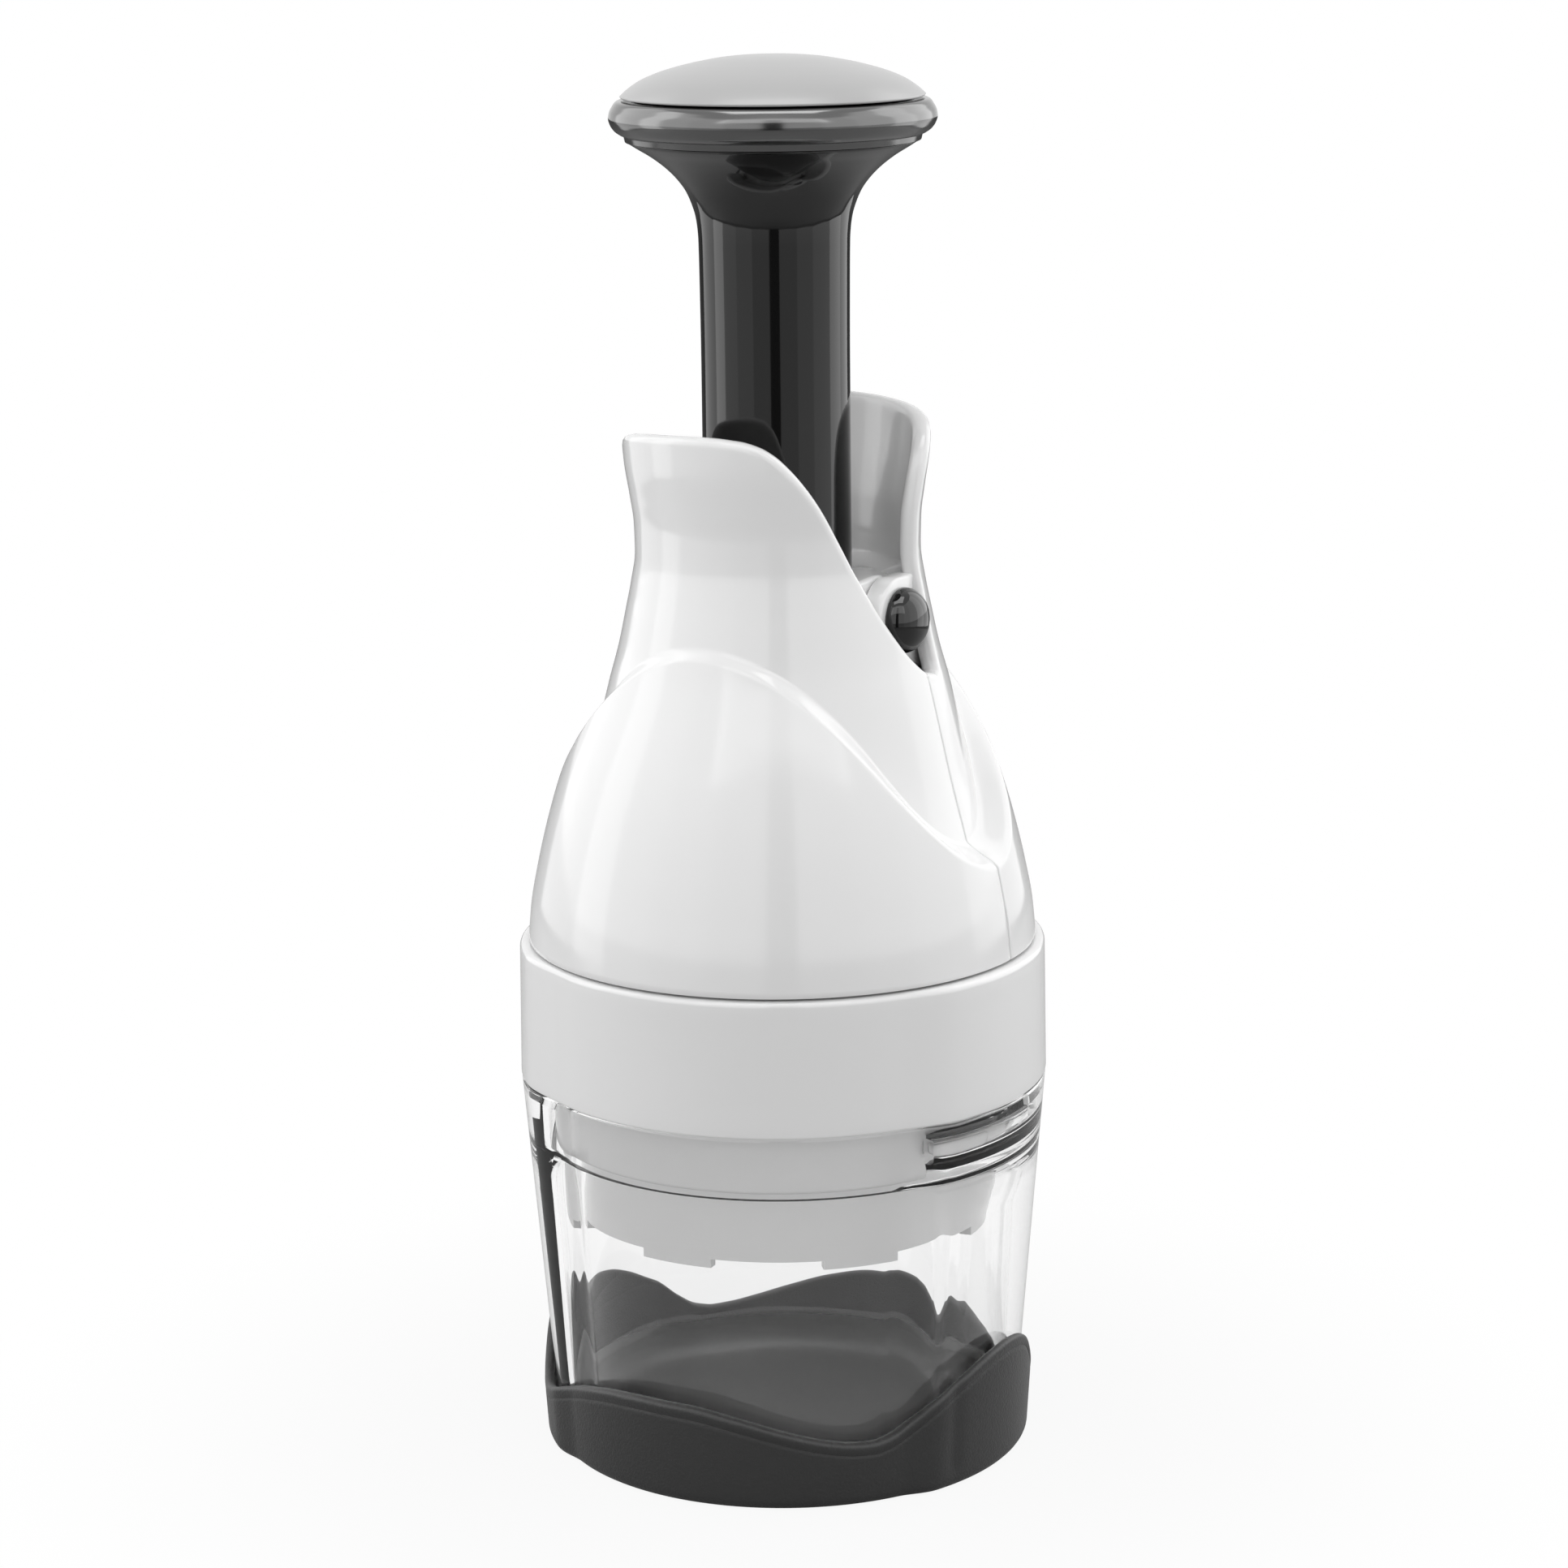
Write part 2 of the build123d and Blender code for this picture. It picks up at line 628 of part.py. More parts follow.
def shell_form(inset):
    """Housing without its lobes cut: a neck that grows out of a bell under a low arch."""
    along = 0.5 * inset
    across = 0.85 * inset
    with BuildPart() as form:
        with BuildSketch(Plane.XZ):
            with BuildLine():
                bell = Spline((shell_bottom_radius - inset, shell_bottom),
                              (belly_radius - across, belly_height - along),
                              (shoulder_radius - across, shoulder_height - along),
                              (neck_radius - 0.8 - across, arch_peak + 1 - along))
                Polyline(bell @ 1, (0, arch_peak + 1 - along), (0, shell_bottom), bell @ 0)
            make_face()
        revolve(axis=Axis.Z)
        with BuildSketch(Plane.XZ):
            with BuildLine():
                arch = ThreePointArc((-arch_half_width, arch_peak - arch_drop - inset),
                                     (0, arch_peak - inset),
                                     (arch_half_width, arch_peak - arch_drop - inset))
                Polyline(arch @ 1, (2 * arch_half_width, arch_peak - arch_drop - inset),
                         (2 * arch_half_width, arch_peak + 20), (-2 * arch_half_width, arch_peak + 20),
                         (-2 * arch_half_width, arch_peak - arch_drop - inset), arch @ 0)
            make_face()
        extrude(amount=2 * arch_half_width, both=True, mode=Mode.SUBTRACT)
        with BuildSketch(Plane.XZ):
            with BuildLine():
                neck = Spline((neck_foot_radius - inset, neck_foot_height),
                              (neck_radius - inset, neck_height), (waist_radius - inset, waist_height),
                              (lip_radius - inset, shell_top))
                Polyline(neck @ 1, (0, shell_top), (0, neck_foot_height), neck @ 0)
            make_face()
        revolve(axis=Axis.Z)
    return form.part


with BuildPart() as housing:
    add(shell_form(0))
    add(shell_form(shell_wall), mode=Mode.SUBTRACT)

with BuildPart() as front_shell:
    add(housing.part)
    with Locations((0, -half_gap, 0)):
        Box(3 * collar_radius, 2 * collar_radius, 3 * shell_top,
            align=(Align.CENTER, Align.MAX, Align.CENTER), mode=Mode.INTERSECT)
    with BuildSketch(Plane.YZ) as slope:
        with BuildLine():
            Polyline((0, lobe_foot), (0, shell_top + 10),
                     (-(shell_top + 10 - lobe_foot) / lobe_slope, shell_top + 10), close=True)
        make_face()
    extrude(amount=collar_radius, mode=Mode.SUBTRACT)
    with BuildSketch(Plane.YZ) as steep:
        with BuildLine():
            Polyline((0, hinge_height - 2), (0, shell_top + 10), (-lobe_end, shell_top + 10),
                     (-lobe_end, hinge_height - 2), close=True)
        make_face()
    extrude(amount=-collar_radius, mode=Mode.SUBTRACT)
    with BuildSketch(Plane.YZ):
        with Locations((0, hinge_height)):
            Circle(notch_radius)
    extrude(amount=collar_radius, both=True, mode=Mode.SUBTRACT)
    for start in (ear_inner_start, -ear_outer_end):
        with BuildSketch(Plane.YZ.offset(start)):
            with Locations((0, hinge_height)):
                Circle(ear_radius)
            with Locations((-arm_reach / 2, hinge_height - arm_drop / 2)):
                Rectangle(arm_reach, arm_drop)
        extrude(amount=ear_thickness)
    with BuildSketch(Plane.YZ):
        with Locations((0, hinge_height)):
            Circle(hinge_pin_radius + running_gap)
    extrude(amount=collar_radius, both=True, mode=Mode.SUBTRACT)
save(front_shell.part, "front_shell")
save(front_shell.part.rotate(Axis.Z, 180), "back_shell")

# ---------------------------------------------------------------- stem and knob

with BuildPart() as stem:
    with BuildSketch(Plane.XZ):
        with BuildLine():
            flare = Spline((stem_radius, stem_straight_top), (stem_radius + 2.0, flare_top - 8.5),
                           (stem_radius + 5.4, flare_top - 4.5), (flare_radius, flare_top),
                           tangents=((0, 1), (1, 0.55)))
            Polyline(flare @ 1, (pocket_radius, flare_top), (pocket_radius, hub_top),
                     (hub_radius, hub_top), (hub_radius, stem_bore_top),
                     (stem_bore_radius, stem_bore_top), (stem_bore_radius, stem_bottom),
                     (stem_radius, stem_bottom), flare @ 0)
        make_face()
    revolve(axis=Axis.Z)
    with BuildSketch(Plane.XY.offset(flare_top)):
        with PolarLocations(knob_screw_circle, 3):
            Circle(screw_radius)
    extrude(amount=-knob_screw_length, mode=Mode.SUBTRACT)
save(stem.part, "stem")

with BuildPart() as rod_bearing:
    add(turned((rod_radius + running_gap, hub_bottom), (hub_radius, hub_bottom),
               (hub_radius, hub_top), (rod_radius + running_gap, hub_top)))
save(rod_bearing.part, "rod_bearing")

rim_floor_top = flare_top + knob_wall
with BuildPart() as knob_rim:
    with BuildSketch(Plane.XZ):
        with BuildLine():
            rim_side = Spline((flare_radius, flare_top), (knob_radius, knob_belly),
                              (seam_radius + 0.2, seam_height), tangents=((1, 0.4), (-1, 0.8)))
            Polyline(rim_side @ 1, (seam_radius - knob_wall + 0.2, seam_height),
                     (flare_radius - 1, rim_floor_top), (screw_head_radius, rim_floor_top),
                     (screw_head_radius, flare_top), rim_side @ 0)
        make_face()
    revolve(axis=Axis.Z)
    with BuildSketch(Plane.XY.offset(flare_top)):
        with PolarLocations(knob_screw_circle, 3):
            Circle(screw_radius)
    extrude(amount=knob_wall, mode=Mode.SUBTRACT)
save(knob_rim.part, "knob_rim")

with BuildPart() as knob_screws:
    with BuildSketch(Plane.XY.offset(rim_floor_top)):
        with PolarLocations(knob_screw_circle, 3):
            Circle(screw_radius)
    extrude(amount=-knob_wall - knob_screw_length)
    with BuildSketch(Plane.XY.offset(rim_floor_top)):
        with PolarLocations(knob_screw_circle, 3):
            Circle(screw_head_radius)
    extrude(amount=screw_head_height)
save(knob_screws.part, "knob_screws")

with BuildPart() as knob_cap:
    with BuildSketch(Plane.XZ):
        with BuildLine():
            dome = Spline((0, knob_top), (0.7 * seam_radius, knob_top - 2.5),
                          (seam_radius, seam_height), tangents=((1, 0), (0.35, -1)))
            under = Spline((seam_radius - knob_wall, seam_height),
                           (0.7 * seam_radius - 0.6, knob_top - 2.5 - knob_wall),
                           (0, knob_top - knob_wall), tangents=((-0.35, 1), (-1, 0)))
            Line(dome @ 1, under @ 0)
            Line(under @ 1, dome @ 0)
        make_face()
    revolve(axis=Axis.Z)
save(knob_cap.part, "knob_cap")

# ---------------------------------------------------------------- return spring

with BuildPart() as return_spring:
    with BuildLine() as coil:
        Helix(spring_height / spring_coils, spring_height - 2 * spring_wire_radius, spring_radius)
    with BuildSketch(Plane(origin=coil.line @ 0, z_dir=coil.line % 0)):
        Circle(spring_wire_radius)
    sweep(path=coil.line)
save(Pos(0, 0, spring_bottom + spring_wire_radius) * return_spring.part, "return_spring")
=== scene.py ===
"""Plunger food chopper: shapes, finishes and studio, laid out as an add-on and run as a script."""

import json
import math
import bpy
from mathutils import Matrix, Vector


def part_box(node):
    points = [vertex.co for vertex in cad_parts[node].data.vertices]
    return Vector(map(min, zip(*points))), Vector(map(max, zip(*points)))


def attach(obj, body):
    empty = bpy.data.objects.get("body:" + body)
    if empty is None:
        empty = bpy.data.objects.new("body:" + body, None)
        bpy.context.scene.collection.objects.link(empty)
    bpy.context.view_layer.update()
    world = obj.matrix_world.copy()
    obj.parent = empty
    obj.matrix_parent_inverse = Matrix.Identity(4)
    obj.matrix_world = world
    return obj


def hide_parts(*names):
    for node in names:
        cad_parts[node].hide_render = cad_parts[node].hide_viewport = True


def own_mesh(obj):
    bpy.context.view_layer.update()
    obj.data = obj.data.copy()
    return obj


bl_info = {
    "name": "Plunger Food Chopper",
    "version": (1, 0, 0),
    "blender": (4, 5, 0),
    "location": "View3D > Sidebar > Chopper",
    "description": "Builds the visible pieces of a plunger food chopper round its packed frame",
    "category": "Add Mesh",
}

import bpy
import numpy as np
from mathutils import Matrix

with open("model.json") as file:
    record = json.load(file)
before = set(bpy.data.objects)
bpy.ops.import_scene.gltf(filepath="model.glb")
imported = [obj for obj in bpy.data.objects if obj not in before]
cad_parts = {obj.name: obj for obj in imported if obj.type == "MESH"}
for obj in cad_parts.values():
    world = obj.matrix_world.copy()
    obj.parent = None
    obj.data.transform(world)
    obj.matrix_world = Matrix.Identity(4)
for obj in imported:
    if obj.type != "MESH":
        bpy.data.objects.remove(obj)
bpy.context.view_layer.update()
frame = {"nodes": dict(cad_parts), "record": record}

MM = 0.001  # the shapes below are worked out in millimetres


def node_mm(node):
    """Lowest and highest corner of a CAD node, in millimetres."""
    low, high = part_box(node)
    return np.array(low) / MM, np.array(high) / MM


# Heights and radii that the pieces share, read from the frame
BASE_LOW, BASE_HIGH = node_mm("rubber_base")
JAR_LOW, JAR_HIGH = node_mm("container")
COLLAR_LOW, COLLAR_HIGH = node_mm("collar_ring")
SKIRT_LOW, SKIRT_HIGH = node_mm("guide_skirt")
CUP_LOW, CUP_HIGH = node_mm("stripper_cup")
SHELL_LOW, SHELL_HIGH = node_mm("front_shell")
STEM_LOW, STEM_HIGH = node_mm("stem")
RIM_LOW, RIM_HIGH = node_mm("knob_rim")
DOME_LOW, DOME_HIGH = node_mm("knob_cap")
CAPS_LOW, CAPS_HIGH = node_mm("pin_caps")
DISC_LOW, DISC_HIGH = node_mm("neck_disc")

# Plan of the base, jar and collar, in degrees from +X
WING_MIDDLE = 11.0
WING_HALF = 40.0
HINGE_Z = 0.5 * (CAPS_LOW[2] + CAPS_HIGH[2])
STEM_R = 12.95
EAR_R = 7.4
FLARE_TOP = 232.6  # where the stem's flare meets the knob's rim
KNOB_SEAM = 240.1  # between the rim and the dome
ARCH_TOP = 148.0  # of the step on each shell
JAR_SWELL = 2.1  # how far the jar stands out in its wings
AROUND = 256  # columns of a round piece


# ------------------------------------------------------------------ numbers to shapes


def ease(t):
    """Smooth step: 0 below 0, 1 above 1, and 3t^2 - 2t^3 between."""
    t = np.clip(t, 0.0, 1.0)
    return t * t * (3.0 - 2.0 * t)


def smooth_curve(x, knots):
    """Cubic curve through (place, value) knots that never overshoots them: each inner slope is the
    harmonic mean of its neighbours' chords, and zero where the chords change sign."""
    xs, ys = np.array(knots, float).T
    width = np.diff(xs)
    chord = np.diff(ys) / width
    slope = np.zeros_like(ys)
    slope[0], slope[-1] = chord[0], chord[-1]
    product = chord[1:] * chord[:-1]
    total = np.where(np.abs(chord[1:] + chord[:-1]) < 1e-12, 1.0, chord[1:] + chord[:-1])
    slope[1:-1] = np.where(product > 0, 2 * product / total, 0.0)
    i = np.clip(np.searchsorted(xs, x) - 1, 0, len(xs) - 2)
    t = np.clip((x - xs[i]) / width[i], 0.0, 1.0)
    return ((1 + 2 * t) * (1 - t) ** 2 * ys[i] + t * (1 - t) ** 2 * width[i] * slope[i]
            + t * t * (3 - 2 * t) * ys[i + 1] + t * t * (t - 1) * width[i] * slope[i + 1])


def rounded_path(corners, arc_points=7):
    """Line through (radius, height, rounding) corners, each replaced by a circular arc."""
    points = [np.array(corners[0][:2], float)[None]]
    for before, corner, after in zip(corners, corners[1:], corners[2:]):
        at = np.array(corner[:2], float)
        back = np.array(before[:2], float) - at
        ahead = np.array(after[:2], float) - at
        back /= np.linalg.norm(back)
        ahead /= np.linalg.norm(ahead)
        half = 0.5 * np.arccos(np.clip(back @ ahead, -0.999999, 0.999999))
        middle = at + (back + ahead) / np.linalg.norm(back + ahead) * corner[2] / np.sin(half)
        start = at + back * corner[2] / np.tan(half) - middle
        end = at + ahead * corner[2] / np.tan(half) - middle
        first = np.arctan2(start[1], start[0])
        sweep = (np.arctan2(end[1], end[0]) - first + np.pi) % (2 * np.pi) - np.pi
        angle = first + sweep * np.linspace(0, 1, arc_points)
        points.append(middle + corner[2] * np.stack([np.cos(angle), np.sin(angle)], 1))
    points.append(np.array(corners[-1][:2], float)[None])
    return np.concatenate(points)


def divided(path, step):
    """The same line with its long runs cut into lengths of at most step."""
    parts = [path[:1]]
    for a, b in zip(path, path[1:]):
        count = max(1, int(np.ceil(np.linalg.norm(b - a) / step)))
        parts.append(a + (b - a) * (np.arange(1, count + 1) / count)[:, None])
    return np.concatenate(parts)


def turn_angles(count=AROUND):
    """Even angles round the axis, in radians from +X."""
    return np.linspace(0, 2 * np.pi, count, endpoint=False)


def wing_share(angle, slant):
    """1 in the two opposed wings and 0 between them, with an eased edge of twice slant degrees."""
    off = np.abs((np.degrees(angle) - WING_MIDDLE + 90.0) % 180.0 - 90.0)
    return ease((WING_HALF - off) / (2 * slant) + 0.5)


def ring_points(radius, height, angle):
    """Points at the given radius, height and angle arrays, as one array of rows."""
    radius, height, angle = np.broadcast_arrays(radius, height, angle)
    return np.stack([radius * np.cos(angle), radius * np.sin(angle), height], -1)


def grid_faces(index):
    """Quads between neighbouring entries of a two-way index array."""
    return np.stack([index[:-1, :-1], index[:-1, 1:], index[1:, 1:], index[1:, :-1]], -1).reshape(-1, 4)


def signed_volume(points, quads, fans):
    """Six times the volume inside the faces; it is negative when they point inwards."""
    total = 0.0
    for faces in (quads[:, [0, 1, 2]], quads[:, [0, 2, 3]], fans):
        if len(faces):
            a, b, c = points[faces[:, 0]], points[faces[:, 1]], points[faces[:, 2]]
            total += np.einsum("ij,ij->i", a, np.cross(b, c)).sum()
    return total


def add_mesh(name, points, quads, fans=np.zeros((0, 3), int)):
    """Mesh object from points in millimetres, with its faces turned outwards and shaded smooth."""
    if signed_volume(points, quads, fans) < 0:
        quads, fans = quads[:, ::-1], fans[:, ::-1]
    mesh = bpy.data.meshes.new(name)
    mesh.from_pydata((points * MM).tolist(), [], quads.tolist() + fans.tolist())
    mesh.polygons.foreach_set("use_smooth", np.ones(len(mesh.polygons), bool))
    mesh.update()
    piece = bpy.data.objects.new(name, mesh)
    bpy.context.scene.collection.objects.link(piece)
    return piece


def revolved(name, rows):
    """Closed surface from rows of points round an axis.  A first or last row without width becomes
    one pole; otherwise the last row joins the first, which makes a ring."""
    count, around, _ = rows.shape
    index = np.arange(count * around).reshape(count, around)
    points = rows.reshape(-1, 3)
    width = np.ptp(rows, axis=1).max(-1)
    fans = []
    body = index
    if width[0] < 1e-6:
        body = body[1:]
        ring = body[0]
        fans.append(np.stack([np.full(around, index[0, 0]), np.roll(ring, -1), ring], 1))
    if width[-1] < 1e-6:
        body = body[:-1]
        ring = body[-1]
        fans.append(np.stack([np.full(around, index[-1, 0]), ring, np.roll(ring, -1)], 1))
    if not fans:
        body = np.concatenate([body, body[:1]])
    quads = grid_faces(np.concatenate([body, body[:, :1]], 1))
    fans = np.concatenate(fans) if fans else np.zeros((0, 3), int)
    used = np.unique(np.concatenate([quads.ravel(), fans.ravel()]))
    place = np.zeros(len(points), int)
    place[used] = np.arange(len(used))
    return add_mesh(name, points[used], place[quads], place[fans])


def lathe(name, path, count=AROUND):
    """Surface of revolution about the Z axis of a (radius, height) path."""
    angle = turn_angles(count)
    return revolved(name, ring_points(path[:, :1], path[:, 1:], angle[None]))


def side_lathe(name, path, side, height, count=96):
    """Surface of revolution about a line along X at the given height; path holds (radius, X)."""
    angle = turn_angles(count)[None]
    radius, along = path[:, :1], path[:, 1:]
    rows = np.stack([side * along + 0 * angle, radius * np.cos(angle),
                     height + radius * np.sin(angle)], -1)
    return revolved(name, rows)


# ------------------------------------------------------------------ finishes


def new_material(name):
    """Node material with a Principled shader; returns the material, its nodes, links and shader."""
    material = bpy.data.materials.new(name)
    material.use_nodes = True
    nodes, links = material.node_tree.nodes, material.node_tree.links
    return material, nodes, links, nodes["Principled BSDF"]


def put(node, **values):
    """Sets a node's inputs by name; an underscore stands for a space."""
    for name, value in values.items():
        node.inputs[name.replace("_", " ")].default_value = value


def noise_from_object(nodes, links, scale, detail, stretch=(1.0, 1.0, 1.0)):
    """Noise texture on Object coordinates, stretched along an axis where asked."""
    coordinates = nodes.new("ShaderNodeTexCoord")
    mapping = nodes.new("ShaderNodeMapping")
    put(mapping, Scale=stretch)
    noise = nodes.new("ShaderNodeTexNoise")
    put(noise, Scale=scale, Detail=detail)
    links.new(coordinates.outputs["Object"], mapping.inputs["Vector"])
    links.new(mapping.outputs["Vector"], noise.inputs["Vector"])
    return noise


def mapped(nodes, links, source, low, high, span=None):
    """The source's value moved into low..high; with a span, eased between the span's two ends."""
    change = nodes.new("ShaderNodeMapRange")
    if span:
        change.interpolation_type = "SMOOTHSTEP"
        put(change, From_Min=span[0], From_Max=span[1])
    put(change, To_Min=low, To_Max=high)
    links.new(source, change.inputs["Value"])
    return change.outputs["Result"]


def bumped(nodes, links, shader, texture, strength, distance):
    """Small relief on the shader's normal, from a texture."""
    bump = nodes.new("ShaderNodeBump")
    put(bump, Strength=strength, Distance=distance)
    links.new(texture.outputs["Fac"], bump.inputs["Height"])
    links.new(bump.outputs["Normal"], shader.inputs["Normal"])


def mixed(nodes, links, share, first, second, end):
    """Mixes two shaders by a share, 0 for the first, and feeds the end of the tree."""
    mix = nodes.new("ShaderNodeMixShader")
    for source, socket in zip((share, first, second), mix.inputs):
        links.new(source.outputs[0], socket)
    links.new(mix.outputs[0], nodes[end].inputs["Surface"])


def tint_and_grain(nodes, links, shader, colour, tint, patch_scale, grain_scale, grain_depth,
                   roughness, rough_spread, stretch=(1.0, 1.0, 1.0)):
    """Slightly mottled colour and roughness, and a fine bump, all from noise."""
    patches = noise_from_object(nodes, links, patch_scale, 3.0, stretch)
    blend = nodes.new("ShaderNodeMix")
    blend.data_type = "RGBA"
    blend.inputs[6].default_value = (*[c * (1 - tint) for c in colour], 1)
    blend.inputs[7].default_value = (*[min(1.0, c * (1 + tint)) for c in colour], 1)
    links.new(patches.outputs["Fac"], blend.inputs[0])
    links.new(blend.outputs[2], shader.inputs["Base Color"])
    spread = mapped(nodes, links, patches.outputs["Fac"], roughness - rough_spread,
                    roughness + rough_spread)
    links.new(spread, shader.inputs["Roughness"])
    grain = noise_from_object(nodes, links, grain_scale, 2.0, stretch)
    bumped(nodes, links, shader, grain, 0.5, grain_depth)


def moulded_plastic(name, colour, roughness, gloss=1.5, grain_depth=0.00001):
    """Moulded plastic: nearly even colour, and a faint long waviness in its gloss."""
    material, nodes, links, shader = new_material(name)
    tint_and_grain(nodes, links, shader, colour, 0.02, 30.0, 160.0, grain_depth, roughness, 0.02)
    put(shader, IOR=gloss)
    return material


def clear_plastic(name, colour):
    """Clear moulded plastic with hardly visible flow waves; its floor is frosted."""
    material, nodes, links, shader = new_material(name)
    put(shader, Base_Color=(*colour, 1), Transmission_Weight=1.0, IOR=1.49)
    waves = noise_from_object(nodes, links, 28.0, 1.5, (1.0, 1.0, 0.4))
    bumped(nodes, links, shader, waves, 0.35, 0.0003)
    coordinates = nodes.new("ShaderNodeTexCoord")
    axes = nodes.new("ShaderNodeSeparateXYZ")
    links.new(coordinates.outputs["Object"], axes.inputs[0])
    frost = mapped(nodes, links, axes.outputs["Z"], 0.55, 0.01, (8.0 * MM, 9.5 * MM))
    links.new(frost, shader.inputs["Roughness"])
    return material


def grained_rubber(name, colour):
    """Matte rubber with a fine leathery grain and a slight sheen at grazing angles."""
    material, nodes, links, shader = new_material(name)
    tint_and_grain(nodes, links, shader, colour, 0.12, 60.0, 2200.0, 0.0002, 0.50, 0.05)
    put(shader, Sheen_Weight=0.15, Sheen_Roughness=0.4)
    return material


def turned_steel(name, colour):
    """Brushed steel with marks that run round the axis."""
    material, nodes, links, shader = new_material(name)
    tint_and_grain(nodes, links, shader, colour, 0.06, 90.0, 500.0, 0.00002, 0.28, 0.06,
                   (1.0, 1.0, 12.0))
    put(shader, Metallic=1.0)
    return material


FINISHES = {}


def finish(slot):
    """The material of a slot, made once from the add-on's colours."""
    if slot not in FINISHES:
        colours = bpy.context.scene.chopper_colours
        makers = {
            "white_plastic": lambda: moulded_plastic("white plastic", colours.white, 0.12),
            "black_plastic": lambda: moulded_plastic("black plastic", colours.black, 0.07),
            "dark_grey_plastic": lambda: moulded_plastic("dark lacquer", colours.dark_grey, 0.15, 2.05),
            "grey_plastic": lambda: moulded_plastic("satin grey plastic", colours.grey, 0.30),
            "clear_plastic": lambda: clear_plastic("clear plastic", colours.clear),
            "rubber": lambda: grained_rubber("grained rubber", colours.rubber),
            "steel": lambda: turned_steel("turned steel", colours.steel),
        }
        FINISHES[slot] = makers[slot]()
    return FINISHES[slot]


def dress(piece, body, slot, *nodes):
    """Gives a piece the finish of a slot and hides the nodes it is drawn in place of; the piece rides on
    the body.
    """
    piece.data.materials.append(finish(slot))
    if nodes:
        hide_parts(*nodes)
    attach(piece, body)
    return piece


# ------------------------------------------------------------------ what a user would change


def length_setting(name, description, default, low, high):
    """Length setting; the numbers are in millimetres."""
    return bpy.props.FloatProperty(name=name, description=description, default=default * MM,
                                   min=low * MM, max=high * MM, unit="LENGTH")


def colour_setting(name, description, level):
    """Colour setting, whose default is the grey of that level."""
    return bpy.props.FloatVectorProperty(name=name, description=description, subtype="COLOR",
                                         default=(level, level, level), min=0.0, max=1.0)


class ChopperSizes(bpy.types.PropertyGroup):
    """Sizes that the frame doesn't give."""

    lip_round: length_setting(
        "Lobe edge", "How far the rounded edge of a shell's lobe stands out", 1.3, 0.2, 2.0)
    shell_wall: length_setting("Shell wall", "Thickness of the two shells", 3.0, 1.0, 4.0)
    shoulder_step: length_setting(
        "Shoulder edge", "Half width of the rounded step under the arch", 1.3, 0.3, 4.0)
    rim_bead: length_setting("Rubber bead", "Height of the rounded lip of the rubber base", 1.7, 0.5, 3.0)


class ChopperColours(bpy.types.PropertyGroup):
    """Colours of the finishes."""

    white: colour_setting("White", "Housing, collar and skirt", 0.80)
    black: colour_setting("Black", "Plunger stem and hinge caps", 0.006)
    dark_grey: colour_setting("Dark grey", "Rim of the knob", 0.014)
    grey: colour_setting("Grey", "Dome of the knob", 0.40)
    clear: colour_setting("Clear", "Tint of the jar", 0.985)
    rubber: colour_setting("Rubber", "Base", 0.017)
    steel: colour_setting("Steel", "Rod, blades, screws and spring", 0.62)


# ------------------------------------------------------------------ rubber base


def rim_height(angle):
    """Height of the base's rim: for each half turn one tall crest beside a hinge cap and one low
    one in front of a shell, with a dip on each side of the low one."""
    turn = (np.degrees(angle) + 90.0) % 180.0  # 0 at the middle of the front shell, 90 at the crest
    crest = BASE_HIGH[2]
    return smooth_curve(turn, [
        (0, 18.25), (4, 18.2), (16, 16.7), (28, 14.3), (37, 12.6), (44, 11.7), (49, 11.5),
        (54, 12.3), (59, 14.4), (64, 17.1), (69, 19.0), (76, 21.4), (83, crest - 0.5), (89, crest),
        (95, crest - 0.5), (101, 21.3), (108, 17.0), (115, 12.6), (120, 10.6), (125, 10.1),
        (132, 11.2), (140, 13.3), (152, 16.1), (164, 17.8), (174, 18.25), (180, 18.25)])


